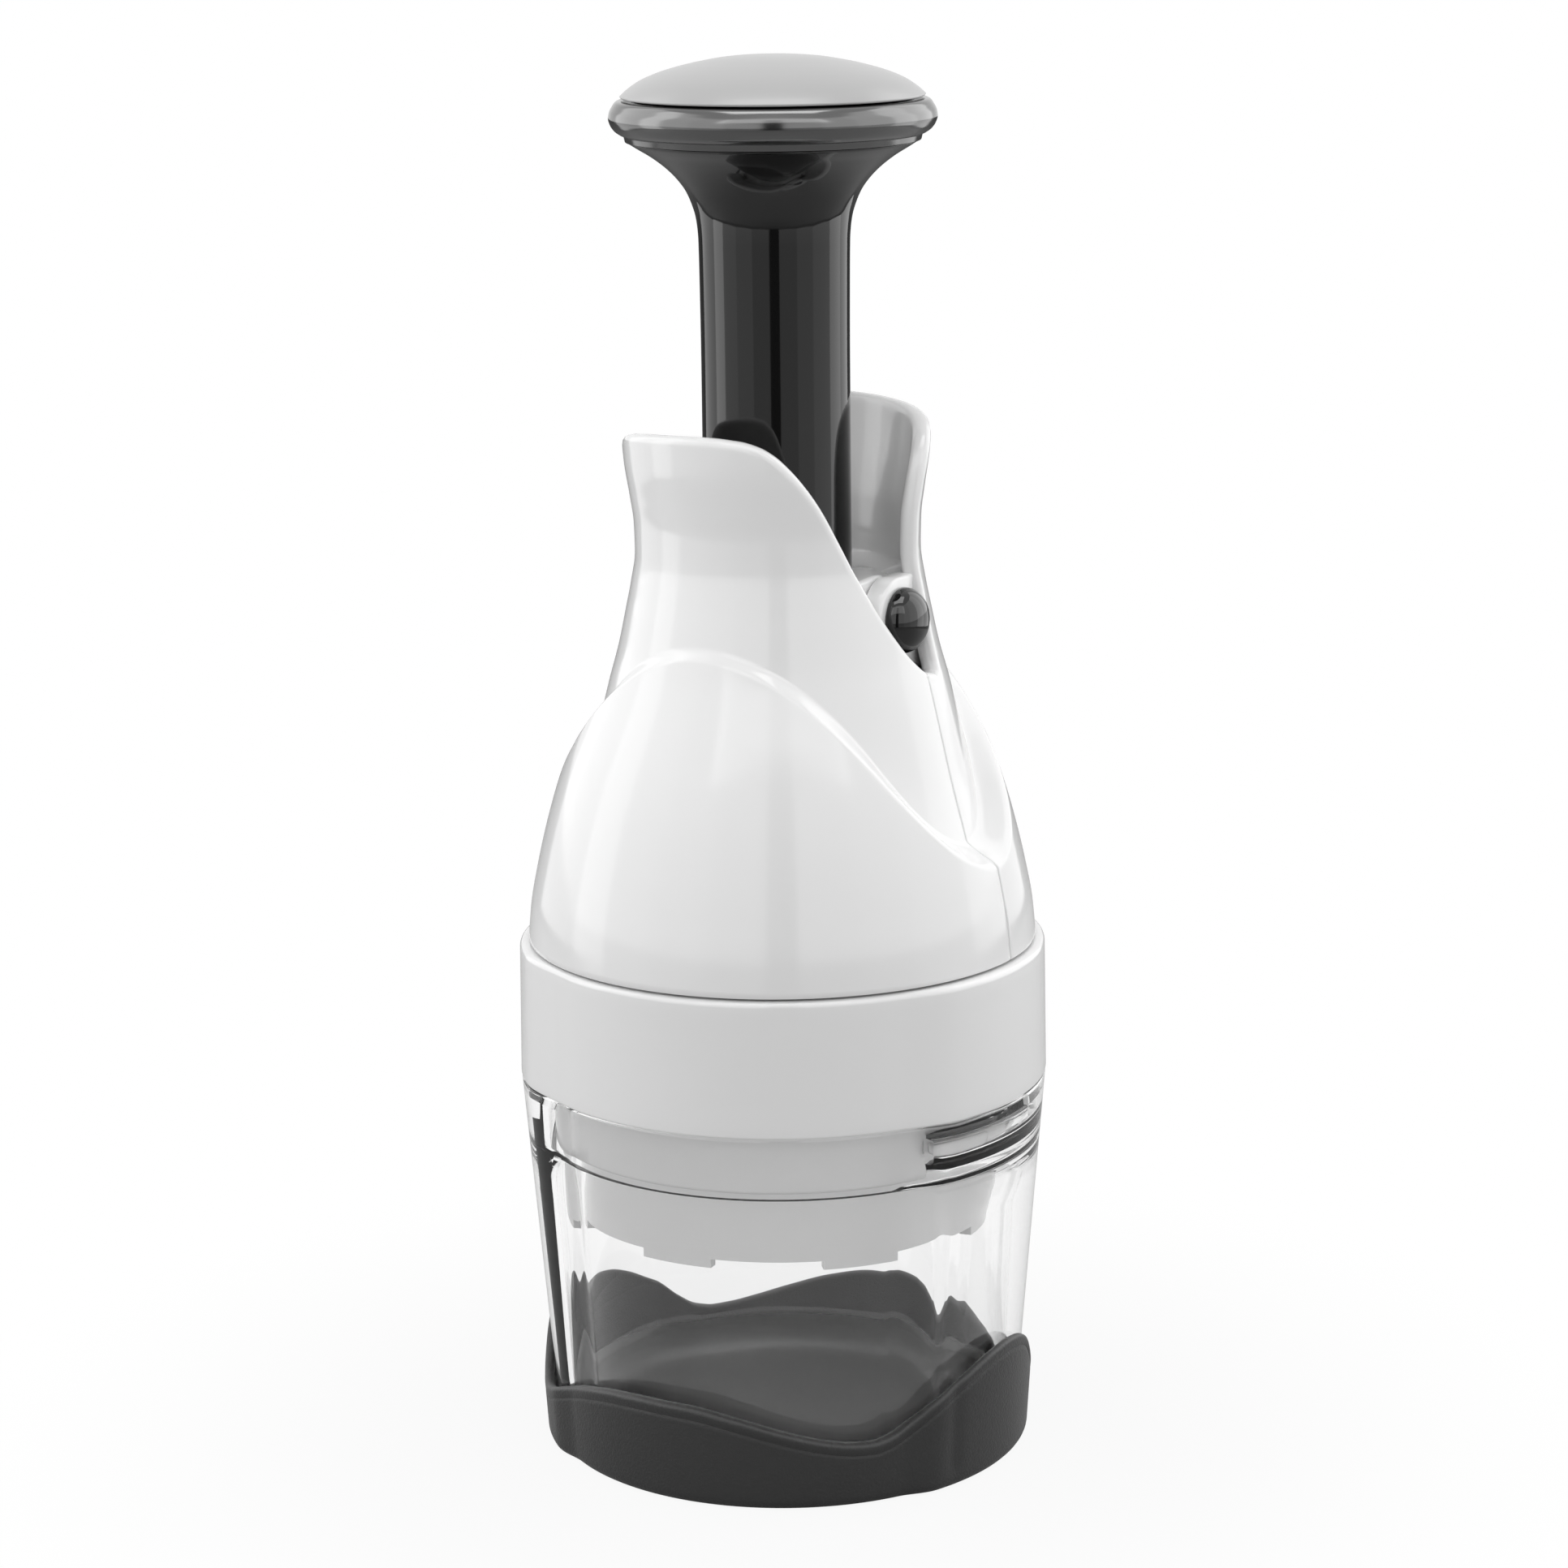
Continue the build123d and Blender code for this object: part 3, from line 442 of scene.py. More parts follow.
class CHOPPER_OT_base(bpy.types.Operator):
    """Adds the rubber base: a winged cup whose rim rises and falls in a wave"""

    bl_idname = "chopper.base"
    bl_label = "Rubber Base"

    def execute(self, context):
        """Outline from the foot's middle out, up the wall, over the bead, down inside and back to
        the middle; the radius follows the winged plan and the wall's height the wave."""
        bead = context.scene.chopper_sizes.rim_bead / MM
        angle = turn_angles(720)[None]
        wing = wing_share(angle, 5.0)
        crease = np.exp(-(((np.degrees(angle) + 20.0 + 90) % 180 - 90) / 2.2) ** 2)
        top = rim_height(angle)
        foot = 42.2 + 1.4 * wing
        flare = 1.5 / BASE_HIGH[2]

        def outer(height):
            return foot + flare * height - 0.35 * crease * ease(height / 5.0)

        def inner(height):
            return 39.7 + JAR_SWELL * wing + (height - 3.0) * 5.4 / 65.0

        rows = [ring_points(0 * angle, 0 * angle, angle)]
        for share in np.linspace(0.2, 1.0, 5):
            rows.append(ring_points((foot - 1.7) * share, 0 * angle, angle))
        for turn in np.linspace(0.15, 1.0, 7) * np.pi / 2:
            height = 1.7 * (1 - np.cos(turn))
            rows.append(ring_points(outer(height) - 1.7 * (1 - np.sin(turn)), height, angle))
        seam = top - bead - 0.5
        for share in np.linspace(0.0, 1.0, 26)[1:]:
            height = 1.7 + (seam - 0.3 - 1.7) * share
            rows.append(ring_points(outer(height), height, angle))
        rows.append(ring_points(outer(seam) - 0.16, seam, angle))
        rows.append(ring_points(outer(seam) - 0.16, seam + 0.12, angle))
        rows.append(ring_points(outer(seam), seam + 0.3, angle))
        shoulder = top - 0.5 * bead
        for turn in np.linspace(0.0, 1.0, 13) * np.pi:
            wall = outer(shoulder) - inner(shoulder)
            middle = 0.5 * (outer(shoulder) + inner(shoulder))
            lift = 0.5 * bead * np.sin(turn) ** 0.8
            rows.append(ring_points(middle + 0.5 * wall * np.cos(turn), shoulder + lift, angle))
        for share in np.linspace(0.0, 1.0, 12)[1:]:
            height = shoulder + (4.0 - shoulder) * share
            rows.append(ring_points(inner(height), height, angle))
        for share, height in ((1.0, 3.0), (0.75, 3.24), (0.5, 3.24), (0.25, 3.24), (0.0, 3.24)):
            rows.append(ring_points((inner(3.0) - 1.0) * share, 0 * angle + height, angle))
        piece = revolved("base_cup", np.concatenate(rows))
        dress(piece, "base", "rubber", "rubber_base")
        return {"FINISHED"}


# ------------------------------------------------------------------ clear jar


class CHOPPER_OT_jar(bpy.types.Operator):
    """Adds the clear jar: winged outside, round inside, with the bayonet slots in its wings"""

    bl_idname = "chopper.jar"
    bl_label = "Clear Jar"

    def execute(self, context):
        """Outside: foot rounding, straight taper, shoulder and spigot.  Inside: the same way back
        down, with the slots as pockets in the wall and, below the ledge, the wings' swelling so
        that the wall stays even, then a floor dished like a shallow bowl."""
        angle = np.radians(np.sort(np.concatenate([
            np.linspace(-180, 180, 540, endpoint=False),
            [a + s for a in (-27, 7, 27, 153, -173, -153) for s in (-0.12, 0.12)]])))[None]
        wing = wing_share(angle, 7.0)
        bottom, mouth = JAR_LOW[2], JAR_HIGH[2]
        shoulder = mouth - 5.8

        def taper(height):
            return 39.4 + (height - bottom) * 5.4 / (shoulder - bottom)

        outside = rounded_path([(0, bottom, 0), (taper(bottom), bottom, 8.0),
                                (taper(shoulder), shoulder, 0.6), (43.4, shoulder, 0.4),
                                (43.4, mouth, 0.6), (42.0, mouth, 0)], 9)
        outside = divided(outside, 4.0)
        share = ease((outside[:, :1] - 20.0) / 15.0) * (outside[:, 1:] < shoulder + 0.01)
        rows = [ring_points(outside[:, :1] + JAR_SWELL * wing * share, outside[:, 1:], angle)]
        slot_low, slot_high = 60.8, 65.4
        ledge = 56.3
        heights = np.array([mouth, shoulder + 1, slot_high + 0.08, slot_high - 0.08,
                            0.5 * (slot_low + slot_high), slot_low + 0.08, slot_low - 0.08,
                            58.0, ledge + 0.4])[:, None]
        sector = (np.degrees(angle) + 90) % 180 - 90
        in_channel = (np.abs(sector) < 27.0)
        in_entry = in_channel & (sector > 7.0)
        level = (heights < slot_high) & (heights > slot_low)
        pocket = (in_channel & level) | (in_entry & (heights > slot_low))
        deep = np.where(heights > shoulder, 42.9, 44.4)
        spigot = 40.5 + 1.8 * wing * (heights < shoulder)
        rows.append(ring_points(np.where(pocket, deep, spigot), heights + 0 * angle, angle))
        bowl = np.linspace(31.0, 0.0, 24)
        bowl = np.stack([bowl, bottom + 1.6 + bowl ** 2 / 380.0], 1)
        inside = rounded_path([(40.5, ledge + 0.3, 0), (40.5, ledge, 0.3), (39.0, ledge, 0.4),
                               (36.9, bottom + 5.0, 4.5), tuple(bowl[0]) + (0,)], 12)
        inside = np.concatenate([divided(inside, 4.0), bowl[1:]])
        bulge = (JAR_SWELL * wing * ease((inside[:, :1] - 20.0) / 15.0)
                 * ease((ledge + 1.0 - inside[:, 1:]) / 3.0))
        rows.append(ring_points(inside[:, :1] + bulge, inside[:, 1:], angle))
        piece = revolved("jar_body", np.concatenate(rows))
        dress(piece, "jar", "clear_plastic", "container")
        return {"FINISHED"}


# ------------------------------------------------------------------ collar, skirt and stripper


class CHOPPER_OT_collar(bpy.types.Operator):
    """Adds the collar ring between housing and jar, and the skirt inside it"""

    bl_idname = "chopper.collar"
    bl_label = "Collar and Skirt"

    def execute(self, context):
        """Ring section with rounded edges, swollen along the wings; the skirt is turned."""
        low, high = COLLAR_LOW[2], COLLAR_HIGH[2]
        angle = turn_angles(540)[None]
        wing = wing_share(angle, 8.0)
        section = divided(rounded_path([(44.0, low, 0), (45.7, low, 0.5), (45.4, high, 1.1),
                                        (39.5, high, 0.4), (39.5, high - 2.5, 0.3),
                                        (43.8, high - 2.5, 0.6), (43.8, low, 0.2), (44.0, low, 0)],
                                       8), 2.0)
        share = ease((section[:, :1] - 43.9) / 1.0)
        rows = ring_points(section[:, :1] + 1.3 * wing * share, section[:, 1:], angle)
        dress(revolved("collar_band", rows[:-1]), "head", "white_plastic", "collar_ring")

        low, high = SKIRT_LOW[2], SKIRT_HIGH[2]
        section = rounded_path([(38.6, low, 0), (39.4, low, 0.6), (39.4, high, 0.3), (37.8, high, 0.3),
                                (37.8, low + 2.0, 0.3), (36.3, low + 2.0, 0.2), (36.3, low, 0.4),
                                (38.6, low, 0)], 5)
        dress(lathe("skirt_tube", divided(section, 3.0)[:-1]), "head", "white_plastic", "guide_skirt")
        self.lugs()
        return {"FINISHED"}

    def lugs(self):
        """Two bayonet lugs: short ring sectors with rounded ends."""
        for number, turn in enumerate((0.0, np.pi)):
            along = np.linspace(0, 1, 25)[:, None]
            angle = turn + np.radians(-26.0 + 18.0 * along)
            end = np.sqrt(np.clip(1 - (2 * along - 1) ** 8, 0.0, 1.0))
            around = turn_angles(24)[None]
            square = np.sign(np.cos(around)) * np.abs(np.cos(around)) ** 0.35
            upright = np.sign(np.sin(around)) * np.abs(np.sin(around)) ** 0.35
            radius = 41.4 + 2.5 * square * end
            height = 63.1 + 1.8 * upright * end
            rows = ring_points(radius, height, angle + 0 * around)
            piece = revolved(f"bayonet_lug_{number + 1}", rows)
            dress(piece, "head", "white_plastic")


class CHOPPER_OT_stripper(bpy.types.Operator):
    """Adds the stripper cup under the skirt, with its scalloped foot"""

    bl_idname = "chopper.stripper"
    bl_label = "Stripper Cup"

    def execute(self, context):
        """Cup turned about the axis; its foot ring drops in seven low scallops."""
        low, high = CUP_LOW[2], CUP_HIGH[2]
        floor = low + 1.6
        angle = turn_angles(560)[None]
        phase = (np.degrees(angle) % (360 / 7)) / 21.0
        drop = 1.6 * ease(4 * phase) * ease(4 * (1 - phase))
        section = rounded_path([(33.6, floor, 0), (36.0, floor, 0.7), (36.0, high - 2.2, 0.2),
                                (37.5, high - 2.2, 0.3), (37.5, high, 0.3), (34.0, high, 0.3),
                                (34.0, floor + 3.0, 0.8), (33.6, floor + 3.0, 0)], 6)
        section = divided(section, 3.0)
        foot = ease((floor + 0.9 - section[:, 1:]) / 0.8) * ease((section[:, :1] - 33.7) / 0.8)
        rows = ring_points(section[:, :1], section[:, 1:] - drop * foot, angle)
        piece = revolved("stripper_wall", rows[:-1])
        dress(piece, "stripper", "white_plastic")
        return {"FINISHED"}


# ------------------------------------------------------------------ housing shells


def bell_radius(height):
    """Radius of the bell part of the housing."""
    return smooth_curve(height, [
        (92.5, 45.15), (99.2, 44.5), (105.9, 43.24), (112.5, 41.71), (119.2, 39.84), (125.9, 37.54),
        (132.4, 34.85), (139.0, 31.9), (143.5, 29.95), (148.0, 28.3), (152.0, 27.0)])


def neck_radius(height):
    """Radius of the neck part of the housing, up to the flared tops of the lobes."""
    return smooth_curve(height, [
        (90.0, 40.5), (110.0, 37.3), (124.0, 33.6), (139.0, 29.9), (145.5, 28.1), (152.0, 26.7),
        (156.6, 25.75), (162.0, 24.95), (167.0, 25.05), (172.0, 25.7), (178.0, 26.6), (190.0, 27.4)])


def lobe_height(azimuth):
    """Top edge of the housing; azimuth 0 is the middle of the front shell.  Each lobe has one steep
    end, a nearly level top and one long slope down to the hinge."""
    turn = (azimuth + 82.0) % 180.0 - 82.0
    return smooth_curve(turn, [
        (-82, 141.6), (-79, 142.3), (-77, 144.2), (-75.6, 149), (-75.0, 156), (-74.4, 164),
        (-73.4, 171), (-71.2, 175.8), (-68, 178.6), (-63, 180.8), (-56, 182.3), (-46, 183.4),
        (-28, 184.3), (0.7, 184.9),
        (13, 184.5), (20, 183.7), (26, 182.2), (32, 179.7), (40, 175.3), (46, 171.2), (52, 166.6),
        (60, 160.4), (67, 154.9), (74, 150.0), (82, 145.4), (90, 142.5), (98, 141.6)])


def housing_radius(azimuth, height, half_step):
    """Outer radius: the neck, and below a low arch the bell, with an eased step between them."""
    bell, neck = bell_radius(height), neck_radius(height)
    arch = arch_height(azimuth, bell)
    return neck + np.maximum(bell - neck, 0.0) * ease((arch - height) / (2 * half_step) + 0.5)


def arch_height(azimuth, radius):
    """Height of the arch: a parabola over the distance across the shell."""
    return ARCH_TOP - 0.0208 * (radius * np.sin(np.radians(azimuth))) ** 2


def across(rows_outer, rows_inner, bulge, segments=8):
    """Closed plate between an outer and an inner grid.  Along its whole edge a half-round strip
    joins them: it swings from one edge point to the other and bulges along the edge's outward
    direction, which is the cross product of the edge's run and the plate's normal."""
    count, wide, _ = rows_outer.shape
    index = np.arange(count * wide).reshape(count, wide)
    loop = np.concatenate([index[0, :-1], index[:-1, -1], index[-1, :0:-1], index[:0:-1, 0]])
    outer, inner = rows_outer.reshape(-1, 3), rows_inner.reshape(-1, 3)
    middle = 0.5 * (outer[loop] + inner[loop])
    half = 0.5 * (outer[loop] - inner[loop])
    run = np.roll(middle, -1, 0) - np.roll(middle, 1, 0)
    away = np.cross(run, half)
    away /= np.linalg.norm(away, axis=1)[:, None]
    top = len(index[0, :-1]) + len(index[:-1, -1]) + wide // 2
    if away[top, 2] < 0:
        away = -away
    width = bulge.reshape(-1)[loop][:, None]
    turn = np.linspace(0, np.pi, segments + 1)[1:-1]
    squared = np.sign(np.cos(turn)) * np.abs(np.cos(turn)) ** 0.75
    strip = (middle[:, None] + half[:, None] * squared[:, None]
             + (away * width)[:, None] * (np.sin(turn) ** 0.75)[:, None])
    points = np.concatenate([outer, inner, strip.reshape(-1, 3)])
    size = count * wide
    ring = np.concatenate([loop[:, None], 2 * size + np.arange(strip.shape[0] * strip.shape[1])
                           .reshape(strip.shape[:2]), size + loop[:, None]], 1)
    ring = np.concatenate([ring, ring[:1]])
    quads = np.concatenate([grid_faces(index), grid_faces(index + size)[:, ::-1],
                            grid_faces(ring.T)[:, ::-1]])
    return points, quads


class CHOPPER_OT_shells(bpy.types.Operator):
    """Adds the two wing shells of the housing, each a thick curved plate with a rounded edge"""

    bl_idname = "chopper.shells"
    bl_label = "Wing Shells"

    def execute(self, context):
        """The back shell is the front one turned half round, with a slightly taller lobe."""
        for name, turn, body, node in (("front_wing_shell", 1, "front_wing", "front_shell"),
                                       ("back_wing_shell", -1, "back_wing", "back_shell")):
            points, quads = self.front(context.scene.chopper_sizes, 0.0 if turn == 1 else 1.6)
            piece = add_mesh(name, points * np.array([turn, turn, 1]), quads)
            dress(piece, body, "white_plastic", node)
        self.ears()
        return {"FINISHED"}

    def front(self, sizes, taller):
        """Grid over azimuth and height.  Its rows crowd round the arch and its columns round the
        steep end of the lobe, so the step and the edge stay crisp.  Inside, the wall thickens to a
        ledge round the neck disc."""
        step = sizes.shoulder_step / MM
        edge = sizes.lip_round / MM
        azimuth = np.concatenate([np.linspace(-89.55, -80, 16), np.linspace(-79.6, -72, 58),
                                  np.linspace(-71.5, -60, 16), np.linspace(-59, 89.55, 150)])[None]
        arch = ARCH_TOP + 0 * azimuth
        for _ in range(12):
            arch = 0.5 * (arch + arch_height(azimuth, bell_radius(arch)))
        top = lobe_height(azimuth) - edge
        low = SHELL_LOW[2] + 0.35
        arch_low = np.minimum(arch - 1.6 * step, top - 6.0)
        arch_high = np.minimum(arch + 1.6 * step, top - 2.0)
        lower = np.linspace(0, 1, 52)[:-1, None]
        band = np.linspace(0, 1, 25)[:-1, None]
        upper = np.linspace(0, 1, 64)[:, None]
        height = np.concatenate([low + (arch_low - low) * lower,
                                 arch_low + (arch_high - arch_low) * band,
                                 arch_high + (top - arch_high) * upper])
        outer_radius = housing_radius(azimuth, height, step)
        inner_radius = housing_radius(azimuth, height, 4.0) - 1.08 * sizes.shell_wall / MM
        ledge = (ease((DISC_HIGH[2] + 1.0 - height) / 1.8) * ease((height - 143.0) / 3.0)
                 * ease((56.0 - np.abs(azimuth)) / 8.0))
        inner_radius += (np.minimum(DISC_HIGH[0] + 0.6, inner_radius) - inner_radius) * ledge
        height = height + taller * ease((height - ARCH_TOP) / 34.0)
        angle = np.radians(azimuth - 90.0)
        outer = ring_points(outer_radius, height, angle)
        inner = ring_points(inner_radius, height, angle)
        bulge = np.full(height.shape, 0.28)
        bulge[-1] = edge
        bulge[0] = 0.3
        return across(outer, inner, bulge)

    def ears(self):
        """Hinge ears: rounded discs on an arm that reaches the shell's wall, each turned about X."""
        outline = ear_outline()
        for name, body, side, facing, start, thick in (
                ("front_ear_inner", "front_wing", 1, -1, 17.8, 1.9),
                ("front_ear_outer", "front_wing", -1, -1, 20.0, 3.7),
                ("back_ear_inner", "back_wing", -1, 1, 17.8, 1.9),
                ("back_ear_outer", "back_wing", 1, 1, 20.0, 3.7)):
            layers = np.array([(0.0, 0.5), (0.15, 0.15), (0.5, 0.0), (thick - 0.5, 0.0),
                               (thick - 0.15, 0.15), (thick, 0.5)])
            along = start + layers[:, :1]
            shrink = 1.0 - layers[:, 1:] / EAR_R
            z = HINGE_Z + outline[None, :, 1] * shrink
            wall = np.sqrt(np.maximum((neck_radius(z) - 1.2) ** 2 - along ** 2, 1.0))
            y = facing * np.minimum(outline[None, :, 0] * shrink, wall)
            rows = np.stack([side * along + 0 * y, y, z], -1)
            near, far = (np.broadcast_to((side * x, facing * 4.0, HINGE_Z - 1.5), rows[:1].shape)
                         for x in along[[0, -1], 0])
            rows = np.concatenate([near, rows, far])
            dress(revolved(name, rows), body, "white_plastic")


def ear_outline(radius=EAR_R, reach=16.0):
    """Outline of an ear in (towards the shell, up) about its pin: half a disc, and a web behind it
    whose top runs level and whose foot slopes down to the shell."""
    sweep = np.radians(np.linspace(90, 270, 60))
    disc = radius * np.stack([np.cos(sweep), np.sin(sweep)], 1)
    web = np.array([(4.0, -radius - 0.8), (9.0, -radius - 2.6), (reach, -radius - 4.0),
                    (reach, 0.0), (reach, radius - 0.9), (reach - 0.6, radius - 0.3)])
    return divided(np.concatenate([disc, web, disc[:1]]), 1.5)[:-1]


# ------------------------------------------------------------------ neck disc and hinge caps


class CHOPPER_OT_neck(bpy.types.Operator):
    """Adds the domed disc round the stem and the two glossy hinge caps"""

    bl_idname = "chopper.neck"
    bl_label = "Neck Disc and Hinge Caps"

    def execute(self, context):
        """The disc is turned and cut flat beside the ears; each cap is a shallow dome about X."""
        low, high = DISC_LOW[2], DISC_HIGH[2]
        edge, bore = 19.75, 13.3
        section = divided(rounded_path([(16.0, low, 0), (edge, low, 0.2), (edge, high - 0.5, 0.5),
                                        (16.5, high, 3.0), (bore, high - 0.1, 0.3), (bore, low, 0.2),
                                        (16.0, low, 0)], 6), 0.6)
        angle = turn_angles(360)[None]
        flat = 17.4 / np.maximum(np.abs(np.cos(angle)), 1e-6)
        radius = np.minimum(section[:, :1], np.maximum(flat - (edge - section[:, :1]) * 0.2, bore))
        rows = ring_points(radius, section[:, 1:], angle)
        spots = np.radians([65.0, 245.0])
        for number, turn in enumerate(spots):
            centre = 17.0 * np.array([np.cos(turn), np.sin(turn)])
            near = np.linalg.norm(rows[..., :2] - centre, axis=-1)
            rows[..., 2] -= 0.9 * ease((2.6 - near) / 0.9) * (rows[..., 2] > high - 0.8)
            head = rounded_path([(0, low - 2.0, 0), (1.3, low - 2.0, 0.2), (1.9, high - 0.75, 0.2),
                                 (1.2, high - 0.6, 0.5), (0, high - 0.9, 0)], 5)
            around = turn_angles(48)[None]
            screw = ring_points(head[:, :1], head[:, 1:], around) + np.array([*centre, 0.0])
            nodes = ("disc_screws",) if number == 0 else ()
            dress(revolved(f"disc_screw_{number + 1}", screw), "head", "steel", *nodes)
        dress(revolved("neck_cover", rows[:-1]), "head", "white_plastic", "neck_disc")
        start, end = 23.9, CAPS_HIGH[0] + 1.9
        swell = np.linspace(0, np.pi / 2, 30)
        dome = np.stack([5.75 * np.cos(swell) ** 0.9, start + 0.5 + (end - start - 0.5) * np.sin(swell)], 1)
        dome[-1, 0] = 0.0
        section = np.concatenate([[(0, start - 0.6), (5.0, start - 0.6), (5.6, start), (5.75, start + 0.3)],
                                  dome])
        for name, side in (("hinge_cap_right", 1), ("hinge_cap_left", -1)):
            piece = side_lathe(name, section, side, HINGE_Z)
            nodes = ("pin_caps",) if side == 1 else ()
            dress(piece, "head", "black_plastic", *nodes)
        return {"FINISHED"}


# ------------------------------------------------------------------ stem and knob


class CHOPPER_OT_stem(bpy.types.Operator):
    """Adds the glossy plunger stem with its flared top"""

    bl_idname = "chopper.stem"
    bl_label = "Stem"

    def execute(self, context):
        """Outside: straight, then a curve that sweeps out under the rim.  Inside: the bore."""
        low, high = STEM_LOW[2], STEM_HIGH[2]
        top = FLARE_TOP
        heights = np.concatenate([np.linspace(low + 0.4, 200, 24), np.linspace(202, top - 0.1, 70)])
        radii = smooth_curve(heights, [
            (low, STEM_R), (195, STEM_R - 0.08), (209, STEM_R), (215.8, 13.05), (218, 13.2),
            (220, 13.5), (222, 14.1), (224.2, 15.05), (226.2, 16.45), (228.2, 18.4), (230.3, 21.15),
            (231.6, 23.3), (top, 24.9)])
        outside = np.stack([radii, heights], 1)
        inside = rounded_path([(24.8, top, 0), (8.6, top, 0.3), (8.6, 226.0, 0.3), (7.6, 226.0, 0.3),
                               (7.6, 214.0, 0.3), (11.05, 214.0, 0.5), (11.05, low, 0.4),
                               (STEM_R - 0.4, low, 0)], 4)
        path = np.concatenate([outside, divided(inside, 8.0)])
        dress(lathe("stem_tube", path, 192), "plunger", "black_plastic", "stem")
        return {"FINISHED"}


class CHOPPER_OT_knob(bpy.types.Operator):
    """Adds the push knob: a dished rim and the dome on it"""

    bl_idname = "chopper.knob"
    bl_label = "Knob"

    def execute(self, context):
        """Both are turned: the rim bellies out over a step, the dome is a flat cap."""
        low, seam = FLARE_TOP + 0.05, KNOB_SEAM
        top = DOME_HIGH[2]
        side = rounded_path([(24.6, low, 0), (25.35, low + 0.1, 0.15), (25.6, low + 1.15, 0.2),
                             (26.1, low + 1.3, 0.2)], 6)
        heights = np.linspace(low + 1.35, seam - 0.5, 34)
        belly = smooth_curve(heights, [
            (low + 1.3, 26.15), (low + 2.0, 27.15), (low + 3.0, 27.85), (236.7, 28.15),
            (237.7, 28.0), (238.7, 27.5), (239.5, 26.9), (seam - 0.4, 26.45)])
        inside = rounded_path([(26.2, seam - 0.32, 0), (25.6, seam - 0.4, 0.2), (24.2, seam - 0.5, 0.3),
                               (22.4, low + 2.2, 1.0), (2.2, low + 2.2, 0.2), (2.2, low, 0.2),
                               (24.6, low, 0)], 4)
        path = np.concatenate([side, np.stack([belly, heights], 1), divided(inside, 4.0)[:-1]])
        dress(lathe("knob_dish", path), "plunger", "dark_grey_plastic", "knob_rim")
        radius = np.concatenate([np.linspace(0, 20, 30), np.linspace(20.4, 26.15, 28)])
        height = smooth_curve(radius, [
            (0, top), (4, top - 0.09), (8, top - 0.38), (13, top - 1.2), (18.1, top - 2.45),
            (21.0, top - 3.45), (23.1, top - 4.45), (25.0, top - 5.75), (26.15, seam + 0.3)])
        under = rounded_path([(26.15, seam + 0.3, 0), (25.9, seam + 0.02, 0.15), (24.0, seam, 0.3),
                              (18.0, top - 5.0, 6.0), (0, top - 2.2, 0)], 6)
        path = np.concatenate([np.stack([radius, height], 1), divided(under, 3.0)[1:]])
        dress(lathe("knob_dome", path), "plunger", "grey_plastic", "knob_cap")
        return {"FINISHED"}


# ------------------------------------------------------------------ inner pieces of the frame


def spring(coils=9, wire=0.65, radius=5.9):
    """Round wire on a helix: centres at (radius cos t, radius sin t, a height that rises evenly
    with t), and round each centre a circle square to the wire, which shrinks to a point at its ends."""
    low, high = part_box("return_spring")
    low, high = low.z / MM, high.z / MM
    turn = np.linspace(0, 2 * np.pi * coils, 48 * coils + 1)
    turn = np.concatenate([turn[:1], turn, turn[-1:]])[:, None]
    thick = np.full(turn.shape, wire)
    thick[[0, -1]] = 0.0
    rise = (high - low - 2 * wire) / (2 * np.pi * coils)
    slope = np.hypot(radius, rise)
    around = turn_angles(16)[None]
    out = radius + thick * np.cos(around)
    lean = thick * np.sin(around) * rise / slope
    rows = np.stack([out * np.cos(turn) + lean * np.sin(turn),
                     out * np.sin(turn) - lean * np.cos(turn),
                     low + wire + rise * turn + thick * np.sin(around) * radius / slope], -1)
    piece = dress(revolved("spring_wire", rows), "head", "steel", "return_spring")
    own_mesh(piece)


class CHOPPER_OT_inside(bpy.types.Operator):
    """Gives every inner piece that keeps its own solid its finish"""

    bl_idname = "chopper.inside"
    bl_label = "Inner Pieces"

    def execute(self, context):
        """Each node takes the finish of its slot in the record; the spring is built first."""
        spring()
        slots = {part["node"]: part["material_slot"] for part in frame["record"]["subparts"]}
        for name, node in frame["nodes"].items():
            if node.hide_render:
                continue
            node.data.materials.clear()
            node.data.materials.append(finish(slots[name]))
        return {"FINISHED"}


# ------------------------------------------------------------------ studio


def seen_through(nodes, links, kinds):
    """1 for a ray from the camera or of one of the named kinds, and 0 for lighting."""
    path = nodes.new("ShaderNodeLightPath")
    total = path.outputs["Is Camera Ray"]
    for kind in kinds:
        either = nodes.new("ShaderNodeMath")
        either.operation = "MAXIMUM"
        links.new(total, either.inputs[0])
        links.new(path.outputs[kind], either.inputs[1])
        total = either.outputs[0]
    return either


def stage_material(name, lit_share):
    """Pale surface that shows as white to the camera and through glass, and keeps a soft shadow
    close to the object: the share of lit surface falls off with the distance from the axis."""
    material, nodes, links, shader = new_material(name)
    put(shader, Base_Color=(0.5, 0.5, 0.5, 1), Roughness=0.9, Specular_IOR_Level=0.0)
    glow = nodes.new("ShaderNodeEmission")
    put(glow, Strength=1.0, Color=(1, 1, 1, 1))
    sees = seen_through(nodes, links, ("Is Transmission Ray",))
    coordinates = nodes.new("ShaderNodeTexCoord")
    reach = nodes.new("ShaderNodeVectorMath")
    reach.operation = "LENGTH"
    links.new(coordinates.outputs["Object"], reach.inputs[0])
    fade = mapped(nodes, links, reach.outputs["Value"], 1.0 - lit_share, 1.0, (0.05, 0.16))
    share = nodes.new("ShaderNodeMath")
    share.operation = "MULTIPLY"
    links.new(sees.outputs[0], share.inputs[0])
    links.new(fade, share.inputs[1])
    mixed(nodes, links, share, shader, glow, "Material Output")
    return material


